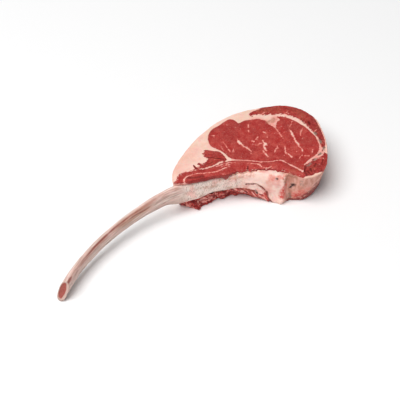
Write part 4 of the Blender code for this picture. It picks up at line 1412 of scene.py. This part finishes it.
def gristle():
    """Moist pale joint tissue with red and brown patches, and lean over its lower edge."""
    shader = Shader("joint_gristle")
    fine = shader.noise(1.2)
    ragged = shader.centred(fine)
    broad = shader.noise(11.0, 2.0, shift=2.0)
    x = shader.add("SeparateXYZ", ((0, shader.place),))[0]
    x = shader.plus(shader.times(x, 1 / MILLIMETRE), (ragged, 8.0))
    stripes = shader.noise(2.6, 2.0, stretch=(1, 1, 4.5), shift=5.0, where=shader.turned(*STRIPE_TURN))
    lean = shader.coats(
        DEEP_RED,
        (BLOOD, stripes, 0.4, 0.56),
        (FAT_PINK, stripes, 0.54, 0.6, 0.0, 0.9),
        (LEAN_BROWN, shader.noise(5.0, 2.0, shift=6.0), 0.5, 0.62, 0.0, 0.6),
    )
    lower = shader.plus(shader.layer("lower"), (ragged, 2.2))
    colour = shader.coats(
        GRISTLE_WHITE,
        (GRISTLE_PINK, broad, 0.44, 0.72, 0.0, 0.8),
        (BONE_GREY, shader.noise(6.0, shift=9.0), 0.5, 0.75, 0.0, 0.5),
        (GRISTLE_PINK, fine, 0.56, 0.8, 0.0, 0.3),
        (membrane(shader), x, *MEMBRANE_X),
        (fascia(shader), x, *FASCIA_X),
        (lean, lower, -0.3, 0.4),
    )
    grain = shader.plus(fine, (broad, 1.5))
    colour = stained(shader, colour, ragged)
    return shader.finish(colour, 0.42, grain, 0.3, 0.6, softness=0.12, reach=1.5, shine=0.2)


def bone():
    """Scraped raw bone: streaks along it, red-brown lines, painted shade that darkens its lower side, and red
    marrow in its sawn end.
    """
    shader = Shader("scraped_bone")
    along, around, rise = (shader.layer(name) for name in ("along", "around", "rise"))
    own = shader.add("CombineXYZ", enumerate(shader.times(part, MILLIMETRE) for part in (along, around)))[0]
    streak = shader.noise(1.7, 3.0, 0.6, stretch=(12, 1, 1), where=own)
    band = shader.noise(2.4, 3.0, 0.6, stretch=(9, 1, 1), shift=6.0, where=own)
    blotch = shader.noise(7.0, 3.0, 0.6, stretch=(2.5, 1, 1), shift=4.0, where=own)
    fine = shader.noise(0.8)
    upper = shader.times(shader.rise(rise, 0.3, 0.8), shader.layer("near"))
    line = shader.times(shader.layer("line"), shader.rise(band, 0.4, 0.6, 0.6, 1.2))
    line = shader.plus(line, (shader.centred(streak), 1.6))
    place = shader.layer("marrow")
    marrow = shader.plus(place, (shader.centred(fine), 0.25))
    sponge = shader.coats(
        MARROW, (LEAN_DARK, fine, 0.45, 0.7, 0.0, 0.7), (DEEP_RED, rise, 0.2, 0.9, 0.0, 0.5)
    )
    colour = shader.coats(
        BONE_GREY,
        (BONE_PINK, band, 0.38, 0.62),
        (BONE_DARK, blotch, 0.52, 0.7, 0.0, 0.3),
        (BONE_TAN, blotch, 0.3, 0.5, 0.4, 0.9, shader.layer("tan")),
        (BONE_PALE, streak, 0.53, 0.66, 0.0, 0.7),
        (BONE_DARK, streak, 0.48, 0.34, 0.0, 0.7),
        (BONE_RED, band, 0.56, 0.42, 0.1, 0.8, upper),
        # Painted shade: darker towards the bone's lower side.
        (BONE_DARK, rise, -0.2, -0.9, 0.0, 0.7),
        (membrane(shader), shader.plus(along, (shader.centred(blotch), 12.0)), *MEATY),
        (BONE_LINE, line, 0.3, 1.0, 0.0, 0.85),
        (BONE_DARK, place, 1.55, 1.65, 0.4, 0.0),
        (sponge, marrow, 0.78, 0.9, 1.0, 0.0),
    )
    grain = shader.plus(streak, (fine, 0.5))
    return shader.finish(colour, 0.5, grain, 0.25, 0.5, softness=0.06, reach=1.0, shine=0.2)


# ---- Surroundings ----
CAMERA_PLACE = (-0.4355, -0.527, 0.7071)
CAMERA_TURN = (45.0, 0.0, -40.0)
LENS = 90.0
NEAREST_SEEN = 0.01
FLOOR_HALF = 3.0
FLOOR_WHITE = (0.97, 0.97, 0.97)
SKY_STRENGTH = 0.26
LIGHT_TARGET = (0.05, 0, 0.02)
# Each light's name, width, power and place.
LIGHTS = (
    ("Key", 2.7, 110.0, (-1.38, 0.05, 3.0)),
    ("Fill", 1.2, 2.0, (-1.0, -1.2, 1.3)),
)


def add(name, data):
    """An object in the scene."""
    item = bpy.data.objects.new(name, data)
    bpy.context.scene.collection.objects.link(item)
    return item


def surroundings():
    """A white floor, soft light from above and a camera at the photograph's angle."""
    scene = bpy.context.scene
    scene.camera = add("Camera", bpy.data.cameras.new("Camera"))
    scene.camera.data.lens = LENS
    scene.camera.data.clip_start = NEAREST_SEEN
    scene.camera.location = CAMERA_PLACE
    scene.camera.rotation_euler = tuple(math.radians(turn) for turn in CAMERA_TURN)

    mesh = bpy.data.meshes.new("Floor")
    corners = [(FLOOR_HALF * x, FLOOR_HALF * y, 0) for x, y in ((-1, -1), (1, -1), (1, 1), (-1, 1))]
    mesh.from_pydata(corners, [], [(0, 1, 2, 3)])
    shader = Shader("white_floor")
    mesh.materials.append(shader.finish(FLOOR_WHITE, 0.6, shader.noise(4.0), 0.02, 0.1))
    add("Floor", mesh)

    world = bpy.data.worlds.new("World")
    world.use_nodes = True
    world.node_tree.nodes["Background"].inputs["Color"].default_value = (1, 1, 1, 1)
    world.node_tree.nodes["Background"].inputs["Strength"].default_value = SKY_STRENGTH
    scene.world = world

    for name, size, power, place in LIGHTS:
        light = bpy.data.lights.new(name, "AREA")
        light.shape = "DISK"
        light.size = size
        light.energy = power
        lamp = add(name, light)
        lamp.location = place
        lamp.rotation_euler = (Vector(LIGHT_TARGET) - Vector(place)).to_track_quat("-Z", "Y").to_euler()
    scene.view_settings.view_transform = "Standard"


# ---- Everything ----
surroundings()

slab_plan = fine_plan()
outer_wall = Wall(slab_plan[0])
depths = [into_outlines(slab_plan[0], outlines) for outlines in (COLOUR_OUTLINES, DARK_COLOUR_OUTLINES)]
meats = {"lean": meat("lean_meat"), "dark_lean": meat("dark_lean_meat"), "fat": meat("white_fat")}
for node, slot in SLOTS.items():
    slab_piece(node, slab_plan, depths, outer_wall, meats[slot])
rib(bone())
joint_tissue(gristle())
